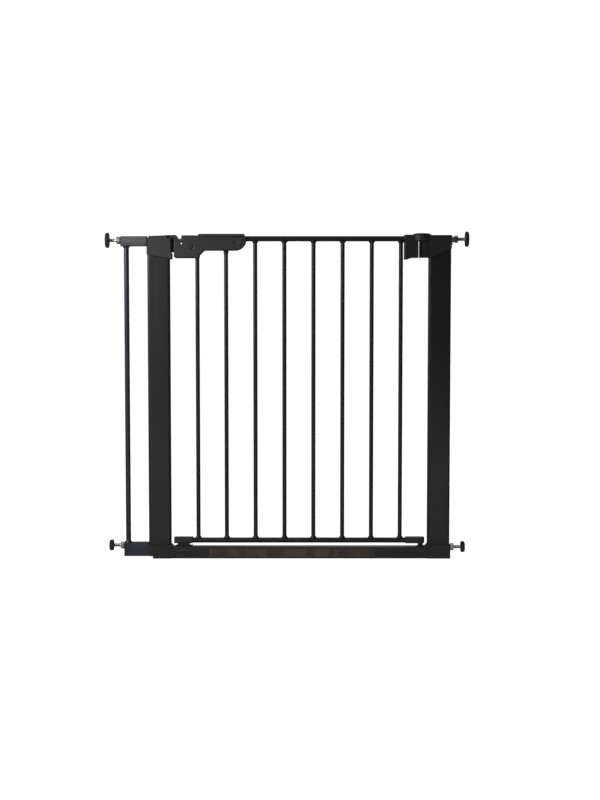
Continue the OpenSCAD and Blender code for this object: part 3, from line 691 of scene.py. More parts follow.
def join(name: str, pieces: Sequence[bpy.types.Object]) -> bpy.types.Object:
    """Puts several meshes into one object, which keeps their materials.

    Args:
        name: Object name.
        pieces: The objects, which are used up.

    Returns:
        The joined object.
    """
    shape = bmesh.new()
    materials: list[bpy.types.Material] = []
    for piece in pieces:
        start = len(shape.faces)
        shape.from_mesh(piece.data)
        shape.faces.ensure_lookup_table()
        own = [slot for slot in piece.data.materials if slot]
        for material in own:
            if material not in materials:
                materials.append(material)
        for face in shape.faces[start:]:
            if own:
                face.material_index = materials.index(own[min(face.material_index, len(own) - 1)])
    mesh = bpy.data.meshes.new(name)
    shape.to_mesh(mesh)
    shape.free()
    for material in materials:
        mesh.materials.append(material)
    for piece in pieces:
        bpy.data.objects.remove(piece)
    return new_object(name, mesh)


def softened(node: str, width: float, steps: int = 3) -> bpy.types.Object:
    """Copies a CAD node's mesh and rounds its sharp edges.

    Args:
        node: Name of the node.
        width: Radius of the rounding in metres; 0 leaves the edges sharp.
        steps: Pieces of each rounding.

    Returns:
        The copy.
    """
    shape = bmesh.new()
    shape.from_mesh(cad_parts[node].data)
    bmesh.ops.remove_doubles(shape, verts=shape.verts, dist=2e-6)
    bmesh.ops.dissolve_limit(shape, angle_limit=math.radians(0.6), verts=shape.verts,
                             edges=shape.edges)
    if width > 0:
        edges = [edge for edge in shape.edges if len(edge.link_faces) == 2
                 and edge.calc_face_angle(0.0) >= SHARP_ANGLE]
        bmesh.ops.bevel(shape, geom=edges, offset=width, offset_type="OFFSET", segments=steps,
                        profile=0.5, affect="EDGES", clamp_overlap=True)
    bmesh.ops.recalc_face_normals(shape, faces=shape.faces)
    mesh = bpy.data.meshes.new(node + "_soft")
    shape.to_mesh(mesh)
    shape.free()
    return new_object(node + "_soft", mesh)


class Workshop:
    """Dresses finished pieces and hands them to their bodies."""

    def __init__(self, finishes: Finishes) -> None:
        """Starts with the finishes that pieces are dressed in."""
        self.finishes = finishes
        self.count = 0

    def coat(self, piece: bpy.types.Object, finish: Finish) -> bpy.types.Object:
        """Gives a loose piece one material.

        Args:
            piece: The piece.
            finish: Its finish.

        Returns:
            The same piece.
        """
        piece.data.materials.clear()
        piece.data.materials.append(self.finishes.get(finish))
        return piece

    def place(self, piece: bpy.types.Object, body: Body | str, finish: Finish,
              replaces: Iterable[str] = (), smooth: float = 32.0,
              made: bool = False) -> bpy.types.Object:
        """Shades a piece smoothly, dresses it and makes it ride on its body.

        Args:
            piece: The finished piece.
            body: The body that it moves with, or the body's name.
            finish: Its finish.
            replaces: CAD nodes that it stands for.
            smooth: Edges sharper than this angle, in degrees, stay crisp.
            made: True for a piece that got its materials from its geometry nodes.

        Returns:
            The piece.
        """
        if not made:
            self.coat(piece, finish)
        piece.data.shade_smooth()
        piece.data.set_sharp_from_angle(angle=math.radians(smooth))
        weigh = piece.modifiers.new("face_weight", "WEIGHTED_NORMAL")
        weigh.keep_sharp = True
        settle(piece)
        rider = body.value if isinstance(body, Body) else body
        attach(piece, rider)
        if replaces:
            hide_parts(*replaces)
        self.count += 1
        LOG.info("piece %s on %s, %d faces", piece.name, rider, len(piece.data.polygons))
        return piece

    def soften(self, node: str, body: Body, finish: Finish, width: float, steps: int = 3) -> None:
        """Replaces a CAD node by its own shape with rounded edges."""
        self.place(softened(node, width, steps), body, finish, [node])

    def dress(self, nodes: Iterable[str], finish: Finish) -> None:
        """Gives CAD nodes a finish and leaves their shape alone."""
        for node in nodes:
            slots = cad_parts[node].data.materials
            slots.clear()
            slots.append(self.finishes.get(finish))
            LOG.info("node %s keeps its shape", node)


# ---------- Repeated parts, made by geometry nodes ----------


class Tree:
    """A geometry tree with named inputs, run once on a host and turned into a plain mesh."""

    def __init__(self, name: str) -> None:
        """Starts an empty tree.

        Args:
            name: Name of the tree and of the piece it makes.
        """
        self.name = name
        self.tree = bpy.data.node_groups.new(name, "GeometryNodeTree")
        for side in ("INPUT", "OUTPUT"):
            self.tree.interface.new_socket("Geometry", in_out=side,
                                           socket_type="NodeSocketGeometry")
        self.graph = Graph(self.tree)
        self.entry = self.graph.add("NodeGroupInput")
        self.values: dict[str, Any] = {}

    def size(self, name: str, value: float | int) -> bpy.types.NodeSocket:
        """Adds a named input.

        Args:
            name: Name of the input.
            value: Its value for this piece.

        Returns:
            The socket that carries it inside the tree.
        """
        kind = "NodeSocketInt" if isinstance(value, int) else "NodeSocketFloat"
        item = self.tree.interface.new_socket(name, in_out="INPUT", socket_type=kind)
        self.values[item.identifier] = value
        return self.entry.outputs[name]

    def run(self, geometry: Wire, material: bpy.types.Material,
            spots: Sequence[Point] = ((0.0, 0.0, 0.0),)) -> bpy.types.Object:
        """Closes the tree, evaluates it on a host of loose points and keeps the mesh.

        Args:
            geometry: What the tree has made.
            material: Material of the piece.
            spots: Points of the host.

        Returns:
            The piece as a plain mesh.
        """
        real = self.graph.out("GeometryNodeRealizeInstances", {}, {"Geometry": geometry})
        dressed = self.graph.out("GeometryNodeSetMaterial", {},
                                 {"Geometry": real, "Material": material})
        self.graph.add("NodeGroupOutput", {}, {"Geometry": dressed})
        mesh = bpy.data.meshes.new(self.name)
        mesh.from_pydata([tuple(p) for p in spots], [], [])
        host = new_object(self.name, mesh)
        modifier = host.modifiers.new(self.name, "NODES")
        modifier.node_group = self.tree
        for identifier, value in self.values.items():
            modifier[identifier] = value
        return settle(host)

    def vector(self, x: Any = 0.0, y: Any = 0.0, z: Any = 0.0) -> Wire:
        """Puts three values or wires into a vector."""
        return self.graph.out("ShaderNodeCombineXYZ", {}, {"X": x, "Y": y, "Z": z})

    def tube(self, start: Wire, end: Wire, radius: Any, sides: int = 32) -> Wire:
        """Straight round bar between two points.

        Args:
            start: One end.
            end: The other end.
            radius: Its radius.
            sides: Facets around.

        Returns:
            The bar's mesh.
        """
        line = self.graph.out("GeometryNodeCurvePrimitiveLine", {"mode": "POINTS"},
                              {"Start": start, "End": end})
        ring = self.graph.out("GeometryNodeCurvePrimitiveCircle", {"mode": "RADIUS"},
                              {"Resolution": sides, "Radius": radius})
        return self.graph.out("GeometryNodeCurveToMesh", {},
                              {"Curve": line, "Profile Curve": ring, "Fill Caps": True})

    def moved(self, geometry: Any, place: Wire | Point = (0, 0, 0), turn: Point = (0, 0, 0),
              scale: Point = (1, 1, 1)) -> Wire:
        """Moves, turns and scales geometry."""
        return self.graph.out("GeometryNodeTransform", {},
                              {"Geometry": geometry, "Translation": place, "Rotation": turn,
                               "Scale": scale})

    def joined(self, *parts: Wire) -> Wire:
        """Joins several geometries.

        Args:
            parts: The geometries.

        Returns:
            All of them as one.
        """
        node = self.graph.add("GeometryNodeJoinGeometry")
        for part in parts:
            self.tree.links.new(part.socket, node.inputs[0])
        return Wire(self.graph, node.outputs[0])

    def on_points(self, points: Any, shape: Wire) -> Wire:
        """Puts a copy of a shape on each point."""
        return self.graph.out("GeometryNodeInstanceOnPoints", {},
                              {"Points": points, "Instance": shape})

    def row(self, count: Any, step: Wire, start: Wire | Point = (0, 0, 0)) -> Wire:
        """A straight row of points."""
        return self.graph.out("GeometryNodeMeshLine", {"mode": "OFFSET"},
                              {"Count": count, "Start Location": start, "Offset": step})


def weld_bead(tree: Tree, radius: Any, size: float, blobs: int = 18) -> Wire:
    """Ring of small overlapping weld blobs about the Z axis.

    Args:
        tree: Tree that receives the nodes.
        radius: Radius of the ring.
        size: Radius of one blob.
        blobs: How many blobs go round.

    Returns:
        The bead's geometry.
    """
    ring = tree.graph.out("GeometryNodeMeshCircle", {"fill_type": "NONE"},
                          {"Vertices": blobs, "Radius": radius})
    blob = tree.graph.out("GeometryNodeMeshIcoSphere", {}, {"Radius": size, "Subdivisions": 2})
    copies = tree.on_points(ring, blob)
    solid = tree.graph.out("GeometryNodeRealizeInstances", {}, {"Geometry": copies})
    lump = tree.graph.out("ShaderNodeTexNoise", {"noise_dimensions": "3D"}, {"Scale": 260.0}, "Fac")
    push = tree.vector(0.0, 0.0, (lump - 0.5) * (size * 1.2))
    return tree.graph.out("GeometryNodeSetPosition", {}, {"Geometry": solid, "Offset": push})


def rods_with_beads(name: str, spots: Sequence[Point], low: float, high: float, radius: float,
                    bead_low: float, bead_high: float, material: bpy.types.Material,
                    bead: float = 0.0013) -> bpy.types.Object:
    """Upright bars with a weld bead near each end.

    Args:
        name: Name of the piece.
        spots: Foot of each bar, at height 0.
        low: Height of the bars' lower ends.
        high: Height of their upper ends.
        radius: Radius of a bar.
        bead_low: Height of the lower beads.
        bead_high: Height of the upper beads.
        material: Material of the bars.
        bead: Radius of a bead's blobs.

    Returns:
        The bars as one mesh.
    """
    tree = Tree(name)
    bottom, top = tree.size("Low", low), tree.size("High", high)
    thick = tree.size("Radius", radius)
    bar = tree.tube(tree.vector(z=bottom), tree.vector(z=top), thick)
    ring = weld_bead(tree, thick, bead)
    low_place = tree.vector(z=tree.size("Lower bead", bead_low))
    high_place = tree.vector(z=tree.size("Upper bead", bead_high))
    wide = Wire(tree.graph, thick) + tree.size("Flare", bead * 1.5)
    flare = tree.graph.out("GeometryNodeMeshCone", {}, {
        "Vertices": 32, "Radius Top": thick, "Radius Bottom": wide, "Depth": bead * 2.4})
    skirt = tree.joined(ring, flare)
    one = tree.joined(bar, tree.moved(skirt, low_place),
                      tree.moved(skirt, high_place, (math.pi, 0.0, 0.0)))
    return tree.run(tree.on_points(tree.entry.outputs[0], one), material, spots)


def threaded_rod(name: str, start: float, end: float, height: float, radius: float, pitch: float,
                 material: bpy.types.Material) -> bpy.types.Object:
    """Rod along X with a rolled thread.

    Args:
        name: Name of the piece.
        start: X of one end.
        end: X of the other end, further right.
        height: Height of the axis.
        radius: Radius over the thread's crests.
        pitch: Advance for each turn.
        material: Material of the rod.

    Returns:
        The rod as one mesh.
    """
    tree = Tree(name)
    length, crest = tree.size("Length", end - start), tree.size("Crest radius", radius)
    step, depth = tree.size("Pitch", pitch), tree.size("Depth", pitch * 0.5)
    size = Wire(tree.graph, length)
    root = Wire(tree.graph, crest) - Wire(tree.graph, depth)
    turns = tree.graph.out("ShaderNodeMath", {"operation": "DIVIDE"},
                           {0: size - Wire(tree.graph, step), 1: step})
    spiral = tree.graph.out("GeometryNodeCurveSpiral", {},
                            {"Resolution": 28, "Rotations": turns, "Start Radius": root,
                             "End Radius": root, "Height": size - Wire(tree.graph, step)})
    ridge = tree.graph.out("GeometryNodeCurvePrimitiveCircle", {"mode": "RADIUS"},
                           {"Resolution": 4, "Radius": Wire(tree.graph, depth) * 0.98})
    thread = tree.graph.out("GeometryNodeCurveToMesh", {},
                            {"Curve": spiral, "Profile Curve": ridge, "Fill Caps": True})
    lifted = tree.moved(thread, tree.vector(z=Wire(tree.graph, step) * 0.5))
    core = tree.tube(tree.vector(), tree.vector(z=length), root + Wire(tree.graph, depth) * 0.1)
    whole = tree.moved(tree.joined(core, lifted), (start, 0.0, height), (0.0, math.pi / 2, 0.0))
    return tree.run(whole, material)


def screw_heads(name: str, spots: Sequence[Point], radius: float, rise: float, front: bool,
                material: bpy.types.Material) -> bpy.types.Object:
    """Pan heads with a cross recess, facing the front or the back.

    Args:
        name: Name of the piece.
        spots: Centre of each head's outer face.
        radius: Radius of a head.
        rise: Thickness of a head.
        front: True where the heads face the front.
        material: Material of the heads.

    Returns:
        The heads as one mesh.
    """
    tree = Tree(name)
    wide, tall = tree.size("Head radius", radius), tree.size("Head height", rise)
    dome = tree.graph.out("GeometryNodeMeshUVSphere", {},
                          {"Segments": 32, "Rings": 16, "Radius": wide})
    flat = tree.moved(dome, (0, 0, 0), (0, 0, 0), (1.0, 1.0, 0.42))
    disc = tree.graph.out("GeometryNodeMeshCylinder", {},
                          {"Vertices": 32, "Radius": wide, "Depth": tall})
    lowered = tree.moved(disc, tree.vector(z=Wire(tree.graph, tall) * -0.5))
    body = tree.graph.add("GeometryNodeMeshBoolean", {"operation": "UNION"})
    for part in (flat, lowered):
        tree.tree.links.new(part.socket, body.inputs[1])
    slot = radius * 1.15
    arm = tree.graph.out("GeometryNodeMeshCube", {}, {"Size": (slot, radius * 0.26, radius * 0.8)})
    other = tree.moved(arm, (0, 0, 0), (0, 0, math.pi / 2))
    high = tree.moved(tree.joined(arm, other), (0, 0, radius * 0.42))
    cut = tree.graph.add("GeometryNodeMeshBoolean", {"operation": "DIFFERENCE"},
                         {"Mesh 1": Wire(tree.graph, body.outputs[0])})
    tree.tree.links.new(high.socket, cut.inputs[1])
    sunk = tree.moved(Wire(tree.graph, cut.outputs[0]), (0, 0, -radius * 0.42))
    turned = tree.moved(sunk, (0, 0, 0), (math.pi / 2 if front else -math.pi / 2, 0.5, 0))
    return tree.run(tree.on_points(tree.entry.outputs[0], turned), material, spots)


def rib_row(name: str, start: Point, step: Point, count: int, half: Point,
            material: bpy.types.Material) -> bpy.types.Object:
    """Row of small soft-edged ribs.

    Args:
        name: Name of the piece.
        start: Middle of the first rib.
        step: Distance from one rib to the next.
        count: How many ribs.
        half: Half sizes of a rib.
        material: Material of the ribs.

    Returns:
        The ribs as one mesh.
    """
    tree = Tree(name)
    number = tree.size("Count", count)
    gap = [tree.size("Step " + "XYZ"[k], float(step[k])) for k in range(3)]
    ball = tree.graph.out("GeometryNodeMeshUVSphere", {},
                          {"Segments": 20, "Rings": 12, "Radius": 1.0})
    stretched = tree.moved(ball, (0, 0, 0), (0, 0, 0), half)
    line = tree.row(number, tree.vector(*gap), start)
    return tree.run(tree.on_points(line, stretched), material)


# ---------- Sub-assemblies ----------


@dataclass
class Doorway:
    """The U-shaped frame: posts, feet, threshold with its film, and the top housings."""

    shop: Workshop
    edge: float = 0.0012
    screw_head: float = 0.003
    screw_rise: float = 0.0018

    def build(self) -> None:
        """Builds and dresses every piece of the frame."""
        fin = self.shop.finishes
        for node in ("left_post", "right_post", "threshold_rail"):
            self.shop.soften(node, Body.FRAME, fin.charcoal, 0.0)
        for node in ("left_foot", "right_foot"):
            self.shop.soften(node, Body.FRAME, fin.charcoal, 0.0009)
        self.shop.soften("threshold_strip", Body.FRAME, fin.film, 0.00008)
        for node in ("latch_keeper", "hinge_housing"):
            self.shop.soften(node, Body.FRAME, fin.shell, self.edge, 4)
        self.shop.soften("lower_catch", Body.FRAME, fin.shell, 0.0005)
        self.shop.soften("lower_hinge_socket", Body.FRAME, fin.shell, 0.0004)
        self.shop.dress(["hinge_pin"], fin.zinc)
        self._screws()

    def _screws(self) -> None:
        """Screws at the back of the two top housings."""
        low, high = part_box("housing_screws")
        spots = [(side, high.y, (low.z + high.z) / 2)
                 for side in (low.x + self.screw_head, high.x - self.screw_head)]
        heads = screw_heads("housing_screw_heads", spots, self.screw_head, self.screw_rise,
                            False, self.shop.finishes.get(self.shop.finishes.zinc))
        self.shop.place(heads, Body.FRAME, self.shop.finishes.zinc, ["housing_screws"], made=True)


@dataclass
class Extension:
    """The side extension: two tubes, an upright bar, four end caps and two studs."""

    shop: Workshop
    bar_radius: float = 0.00575

    def build(self) -> None:
        """Builds and dresses the extension."""
        fin = self.shop.finishes
        # Top tube in the lighter copy of the grey paint as painted light; foot tube and upright bar
        # in the darker copy as painted shade.
        self.shop.soften("extension_top_tube", Body.FRAME, fin.grey, 0.0)
        self.shop.soften("extension_foot_tube", Body.FRAME, fin.shaded_extension_coat, 0.0)
        for node in ("extension_outer_caps", "extension_inner_caps"):
            self.shop.soften(node, Body.FRAME, fin.shell, 0.0008)
        self.shop.dress(["extension_studs"], fin.zinc)
        low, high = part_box("extension_bar")
        tube_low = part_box("extension_foot_tube")[1].z
        middle = (low.x + high.x) / 2
        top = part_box("extension_top_tube")
        bar = rods_with_beads("extension_upright", [(middle, 0.0, 0.0)], tube_low - 0.0005,
                              (top[0].z + top[1].z) / 2 - 0.006, self.bar_radius, tube_low + 0.0006,
                              top[0].z + 0.0004, fin.get(fin.shaded_extension_coat), 0.0018)
        self.shop.place(bar, Body.FRAME, fin.shaded_extension_coat, ["extension_bar"], made=True)


class SpindleCorner(Enum):
    """The four spindles, by the names of their nodes."""

    TOP_LEFT = "top_left"
    TOP_RIGHT = "top_right"
    LOW_LEFT = "low_left"
    LOW_RIGHT = "low_right"


@dataclass
class Spindles:
    """Four threaded rods with their nuts, washers and wall pads."""

    shop: Workshop
    pitch: float = 0.00125
    chamfer: float = 0.0011
    bore: float = 0.00415

    def build(self) -> None:
        """Builds every spindle."""
        for corner in SpindleCorner:
            self._rod(corner)
            self._nut(corner)
            self._pad(corner)
        fin = self.shop.finishes
        self.shop.soften("spindle_washers", Body.FRAME, fin.zinc, 0.00015)
        self.shop.soften("spindle_ferrule", Body.FRAME, fin.zinc, 0.0006)

    def _rod(self, corner: SpindleCorner) -> None:
        """Threaded rod of one corner.

        Args:
            corner: Which spindle.
        """
        node = "rod_" + corner.value
        low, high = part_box(node)
        height, radius = (low.z + high.z) / 2, (high.z - low.z) / 2
        rod = threaded_rod("thread_" + corner.value, low.x, high.x, height, radius, self.pitch,
                           self.shop.finishes.get(self.shop.finishes.zinc))
        self.shop.place(rod, "spindle_" + corner.value, self.shop.finishes.zinc, [node], 50,
                        made=True)

    def _nut(self, corner: SpindleCorner) -> None:
        """Chamfered hexagon nut of one corner.

        Args:
            corner: Which spindle.
        """
        node = "nut_" + corner.value
        low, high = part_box(node)
        height = (low.z + high.z) / 2
        flats = min(high.z - low.z, high.y - low.y) / 2
        corners = max(high.z - low.z, high.y - low.y) / 2
        steps = 72
        tall_z = (high.z - low.z) > (high.y - low.y)
        turn = 0.0 if tall_z else math.pi / 6
        points: list[Point] = []
        face, bevel = flats * 0.97, self.chamfer * 0.6
        rings = [(low.x, self.bore, True), (low.x, face, True), (low.x + bevel, corners, False),
                 (high.x - bevel, corners, False), (high.x, face, True), (high.x, self.bore, True)]
        for x, limit, round_ring in rings:
            for k in range(steps):
                angle = 2 * math.pi * k / steps
                off = (angle - turn + math.pi / 6) % (math.pi / 3) - math.pi / 6
                radius = limit if round_ring else min(limit, flats / math.cos(off))
                points.append((x, radius * math.cos(angle), height + radius * math.sin(angle)))
        faces = [[a * steps + k, a * steps + (k + 1) % steps, b * steps + (k + 1) % steps,
                  b * steps + k] for a, b in zip(range(6), (1, 2, 3, 4, 5, 0))
                 for k in range(steps)]
        nut = solid_from("adjusting_" + node, points, faces)
        self.shop.place(nut, "adjuster_" + corner.value, self.shop.finishes.zinc, [node], 25)

    def _pad(self, corner: SpindleCorner) -> None:
        """Rubber wall pad of one corner, with a hub, a rounded rim and grooves in its face.

        Args:
            corner: Which spindle.
        """
        node = "pad_" + corner.value
        low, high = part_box(node)
        radius, length = (high.z - low.z) / 2, high.x - low.x
        right = corner.value.endswith("right")
        rim = length * 0.42
        profile: list[Flat] = [(0.0038, 0.0), (radius - 0.0012, 0.0), (radius - 0.0004, 0.0003),
                               (radius, 0.0010), (radius, length - rim)]
        for k in range(1, 9):
            angle = math.pi / 2 * k / 8
            profile.append((radius - rim + rim * math.cos(angle),
                            length - rim + rim * math.sin(angle)))
        face = radius - rim - 0.0012
        for groove in (face, face * 0.66, face * 0.33):
            profile += [(groove + 0.0005, length), (groove + 0.0003, length - 0.0004),
                        (groove - 0.0003, length - 0.0004), (groove - 0.0005, length)]
        profile.append((0.0, length))
        profile.append((0.0, length - 0.003))
        profile.append((0.0038, length - 0.003))
        profile.append((0.0038, 0.0))
        origin = (low.x if right else high.x, 0.0, (low.z + high.z) / 2)
        pad = lathe("wall_" + node, profile, origin, Axis.X, 72, 1.0 if right else -1.0)
        self.shop.place(pad, "spindle_" + corner.value, self.shop.finishes.rubber, [node], 40)


@dataclass
class DoorBars:
    """Rails and upright bars of the door, with their weld beads and the ring under the grip."""

    shop: Workshop
    bar_radius: float = 0.00475
    bead: float = 0.0019

    def build(self) -> None:
        """Builds rails and bars."""
        charcoal = self.shop.finishes.charcoal
        for node in ("door_top_rail", "door_bottom_rail"):
            self.shop.soften(node, Body.DOOR, charcoal, 0.0)
        spots = []
        for number in range(1, 9):
            low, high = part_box(f"door_bar_{number}")
            spots.append(((low.x + high.x) / 2, 0.0, 0.0))
        rail_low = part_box("door_bottom_rail")
        rail_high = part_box("door_top_rail")
        low_z = (rail_low[0].z + rail_low[1].z) / 2
        high_z = (rail_high[0].z + rail_high[1].z) / 2
        bars = rods_with_beads("upright_bars", spots, low_z, high_z, self.bar_radius,
                               rail_low[1].z - 0.0002, rail_high[0].z + 0.0002,
                               self.shop.finishes.get(charcoal), self.bead)
        self.shop.place(bars, Body.DOOR, charcoal, [f"door_bar_{n}" for n in range(1, 9)],
                        made=True)
        self._ring(spots[1][0])

    def _ring(self, x: float) -> None:
        """Two-groove ring on the second bar.

        Args:
            x: Where the bar stands.
        """
        low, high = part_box("bar_collar")
        outer, height = (high.x - low.x) / 2, high.z - low.z
        inner = self.bar_radius + 0.00005
        profile = [(inner, 0.0), (outer - 0.0003, 0.0), (outer, 0.0003)]
        for k in (1, 2):
            at = height * k / 3
            profile += [(outer, at - 0.0007), (outer - 0.0006, at - 0.0003),
                        (outer - 0.0006, at + 0.0003), (outer, at + 0.0007)]
        profile += [(outer, height - 0.0003), (outer - 0.0003, height), (inner, height),
                    (inner, 0.0)]
        ring = lathe("grip_ring", profile, (x, 0.0, low.z), Axis.Z, 48)
        # The ring gets the darker plastic, which is painted shade under the grip.
        self.shop.place(ring, Body.DOOR, self.shop.finishes.painted_shade_plastic, ["bar_collar"])


@dataclass
class LockHandle:
    """Lock housing with its grip in two shells, the thumb slide, the bolt and its fittings."""

    shop: Workshop
    lock_width: float = 0.0573
    grip_height: float = 0.0300
    top_drop: float = 0.0037
    notch_width: float = 0.0170
    notch_height: float = 0.0077
    wall: float = 0.0025
    rim: float = 0.0024
    parting: float = 0.0001
    travel: float = 0.008
    screw_side: float = 0.0411
    screw_rise: float = 0.0235
    bend: float = 0.0245

    def build(self) -> None:
        """Builds every piece of the handle."""
        fin = self.shop.finishes
        self._shell("handle_front_shell", True)
        self._shell("handle_back_shell", False)
        self.shop.soften("thumb_slide", Body.LATCH, fin.shell, 0.0011, 4)
        self.shop.soften("latch_bolt", Body.LATCH, fin.shell, 0.0006)
        self.shop.soften("slide_link", Body.LATCH, fin.zinc, 0.0003)
        self._grip_ribs()
        self._rivet()
        self._screws()
        self._spring()

    def _outline(self) -> list[Corner]:
        """Outline of the lock housing and grip, anticlockwise from its lower left corner.

        Returns:
            Corners with their radii.
        """
        low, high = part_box("handle_front_shell")
        x0, x1, z0, z1 = low.x, high.x, low.z, high.z
        lock = x0 + self.lock_width
        grip_top = z1 - self.top_drop
        grip_low = grip_top - self.grip_height
        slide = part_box("thumb_slide")[0].x - 0.0005
        return [
            (x0, z0, 0.0045), (lock, z0, 0.0034), (lock, z0 + 0.0062, 0.003),
            (lock + 0.0105, grip_low, 0.008), (x1, grip_low, self.bend), (x1, grip_top, 0.0026),
            (slide, grip_top, 0.0006), (slide, z1, 0.0026), (x0 + self.notch_width, z1, 0.0026),
            (x0 + self.notch_width, z1 - self.notch_height, 0.0012),
            (x0, z1 - self.notch_height, 0.0030),
        ]

    def _shell(self, node: str, front: bool) -> None:
        """One hollow half of the handle.

        Args:
            node: CAD node that it stands for.
            front: True for the front half.
        """
        low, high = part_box(node)
        if front:
            piece = slab("shell_front", self._outline(), Axis.Y, low.y, -self.parting,
                         self.rim, 0.0003)
        else:
            piece = slab("shell_back", self._outline(), Axis.Y, self.parting, high.y,
                         0.0003, self.rim)
        cutters = self._room(high.y if not front else -low.y)
        if front:
            cutters += self._front_cuts(low.y)
        carve(piece, cutters)
        self.shop.place(piece, Body.DOOR, self.shop.finishes.shell, [node], 28)

    def _box(self, name: str, low: Point, high: Point) -> bpy.types.Object:
        """Plain cutter box between two corners.

        Args:
            name: Object name.
            low: Its lowest corner.
            high: Its highest corner.

        Returns:
            The box.
        """
        points = [(x, y, z) for x in (low[0], high[0]) for y in (low[1], high[1])
                  for z in (low[2], high[2])]
        faces = [(0, 1, 3, 2), (4, 6, 7, 5), (0, 4, 5, 1), (2, 3, 7, 6), (0, 2, 6, 4), (1, 5, 7, 3)]
        return solid_from(name, points, faces)

    def _room(self, half: float) -> list[bpy.types.Object]:
        """Cutters for the space inside the shells and the bolt's and slide's openings.

        Args:
            half: Half the thickness of the handle.

        Returns:
            The cutter solids.
        """
        low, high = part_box("handle_front_shell")
        bolt_low, bolt_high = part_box("latch_bolt")
        slide_low, slide_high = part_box("thumb_slide")
        wall, inner = self.wall, half - self.wall
        lock = low.x + self.lock_width
        grip_top = high.z - self.top_drop
        grip_low = grip_top - self.grip_height
        nose = 0.0053
        return [
            self._box("room_lock", (low.x + wall, -inner, low.z + wall),
                      (lock - wall, inner, high.z - self.notch_height - wall)),
            self._box("room_grip", (lock - 0.008, -inner + 0.0004, grip_low + wall),
                      (high.x - 0.022, inner - 0.0004, grip_top - wall)),
            self._box("room_nose", (low.x - 0.002, -nose, bolt_low.z - 0.0005),
                      (low.x + wall + 0.001, nose, high.z + 0.001)),
            self._box("room_hook", (low.x - 0.002, -nose, high.z - self.notch_height - 0.004),
                      (low.x + self.notch_width + 0.001, nose, high.z + 0.001)),
            self._box("room_slide", (slide_low.x + 0.004, -inner + 0.0002, grip_top - 0.009),
                      (slide_high.x - 0.008, inner - 0.0002, grip_top + 0.001)),
        ]

    def _front_cuts(self, face: float) -> list[bpy.types.Object]:
        """Cutters of the dished screw recess, the thumb hollow and the curved groove.

        Args:
            face: Y of the front face.

        Returns:
            The cutter solids.
        """
        low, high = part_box("handle_front_shell")
        dish_radius, hollow_radius = 0.0105, 0.034
        screw = (low.x + self.screw_side, low.z + self.screw_rise)
        hollow = (high.x - 0.0225, high.z - 0.0150)

        def ball(name: str, radius: float, deep: float, spot: Flat,
                 flat: float = 1.0) -> bpy.types.Object:
            """Sphere that dips into the face by a depth.

            Args:
                name: Object name.
                radius: Radius of the sphere.
                deep: How deep it dips.
                spot: X and Z of its middle.
                flat: Factor on its height.

            Returns:
                The sphere.
            """
            profile = [(radius * math.sin(math.pi * k / 32), -radius * math.cos(math.pi * k / 32))
                       for k in range(33)]
            piece = lathe(name, profile, (0.0, 0.0, 0.0), Axis.Y, 56)
            piece.data.transform(Matrix.Diagonal((1.0, 1.0, flat, 1.0)))
            piece.data.transform(Matrix.Translation((spot[0], face - radius + deep, spot[1])))
            return piece

        return [ball("dish", dish_radius, 0.0019, screw),
                ball("hollow", hollow_radius, 0.0009, hollow, 0.8), self._groove(face)]

    def _groove(self, face: float) -> bpy.types.Object:
        """Tube along the grip's rounded end that leaves a fine groove.

        Args:
            face: Y of the front face.

        Returns:
            The cutter tube.
        """
        low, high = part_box("handle_front_shell")
        grip_top = high.z - self.top_drop
        margin = 0.0045
        centre = Vector((high.x - self.bend, grip_top - self.grip_height + self.bend))
        reach = self.bend - margin
        path = [Vector((centre.x - 0.004, centre.y - reach))]
        for k in range(15):
            angle = -math.pi / 2 + math.pi / 2 * k / 14
            path.append(centre + Vector((math.cos(angle), math.sin(angle))) * reach)
        radius, sides = 0.00055, 10
        points: list[Point] = []
        for i, spot in enumerate(path):
            before, after = path[max(i - 1, 0)], path[min(i + 1, len(path) - 1)]
            along = (after - before).normalized()
            side = Vector((-along.y, along.x))
            for k in range(sides):
                angle = 2 * math.pi * k / sides
                flat = spot + side * radius * math.cos(angle)
                points.append((flat.x, face + radius * math.sin(angle), flat.y))
        rings = len(path)
        faces = [[r * sides + k, r * sides + (k + 1) % sides, (r + 1) * sides + (k + 1) % sides,
                  (r + 1) * sides + k] for r in range(rings - 1) for k in range(sides)]
        faces += [list(range(sides)), list(range((rings - 1) * sides, rings * sides))]
        return solid_from("groove", points, faces)

    def _grip_ribs(self) -> None:
        """Thumb ribs on top of the slide."""
        low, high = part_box("thumb_slide")
        ribs = rib_row("slide_ribs", (low.x + 0.016, 0.0, high.z - 0.00045), (0.0032, 0.0, 0.0), 8,
                       (0.0007, 0.0085, 0.00055), self.shop.finishes.get(self.shop.finishes.shell))
        self.shop.place(ribs, Body.LATCH, self.shop.finishes.shell, made=True)

    def _rivet(self) -> None:
        """Steel rivet with a domed head at each side."""
        low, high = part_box("latch_rivet")
        middle = ((low.x + high.x) / 2, 0.0, (low.z + high.z) / 2)
        radius, shank = (high.x - low.x) / 2, 0.00198
        front, head = high.y, 0.001
        profile: list[Flat] = []
        for k in range(9):
            angle = math.pi / 2 * k / 8
            profile.append((radius * math.sin(angle), -front + head * (1 - math.cos(angle))))
        profile += [(shank, -front + head), (shank, front - head)]
        for k in range(9):
            angle = math.pi / 2 * (1 - k / 8)
            profile.append((radius * math.sin(angle), front - head * (1 - math.cos(angle))))
        rivet = lathe("lock_rivet", profile, middle, Axis.Y, 48)
        self.shop.place(rivet, Body.DOOR, self.shop.finishes.zinc, ["latch_rivet"])

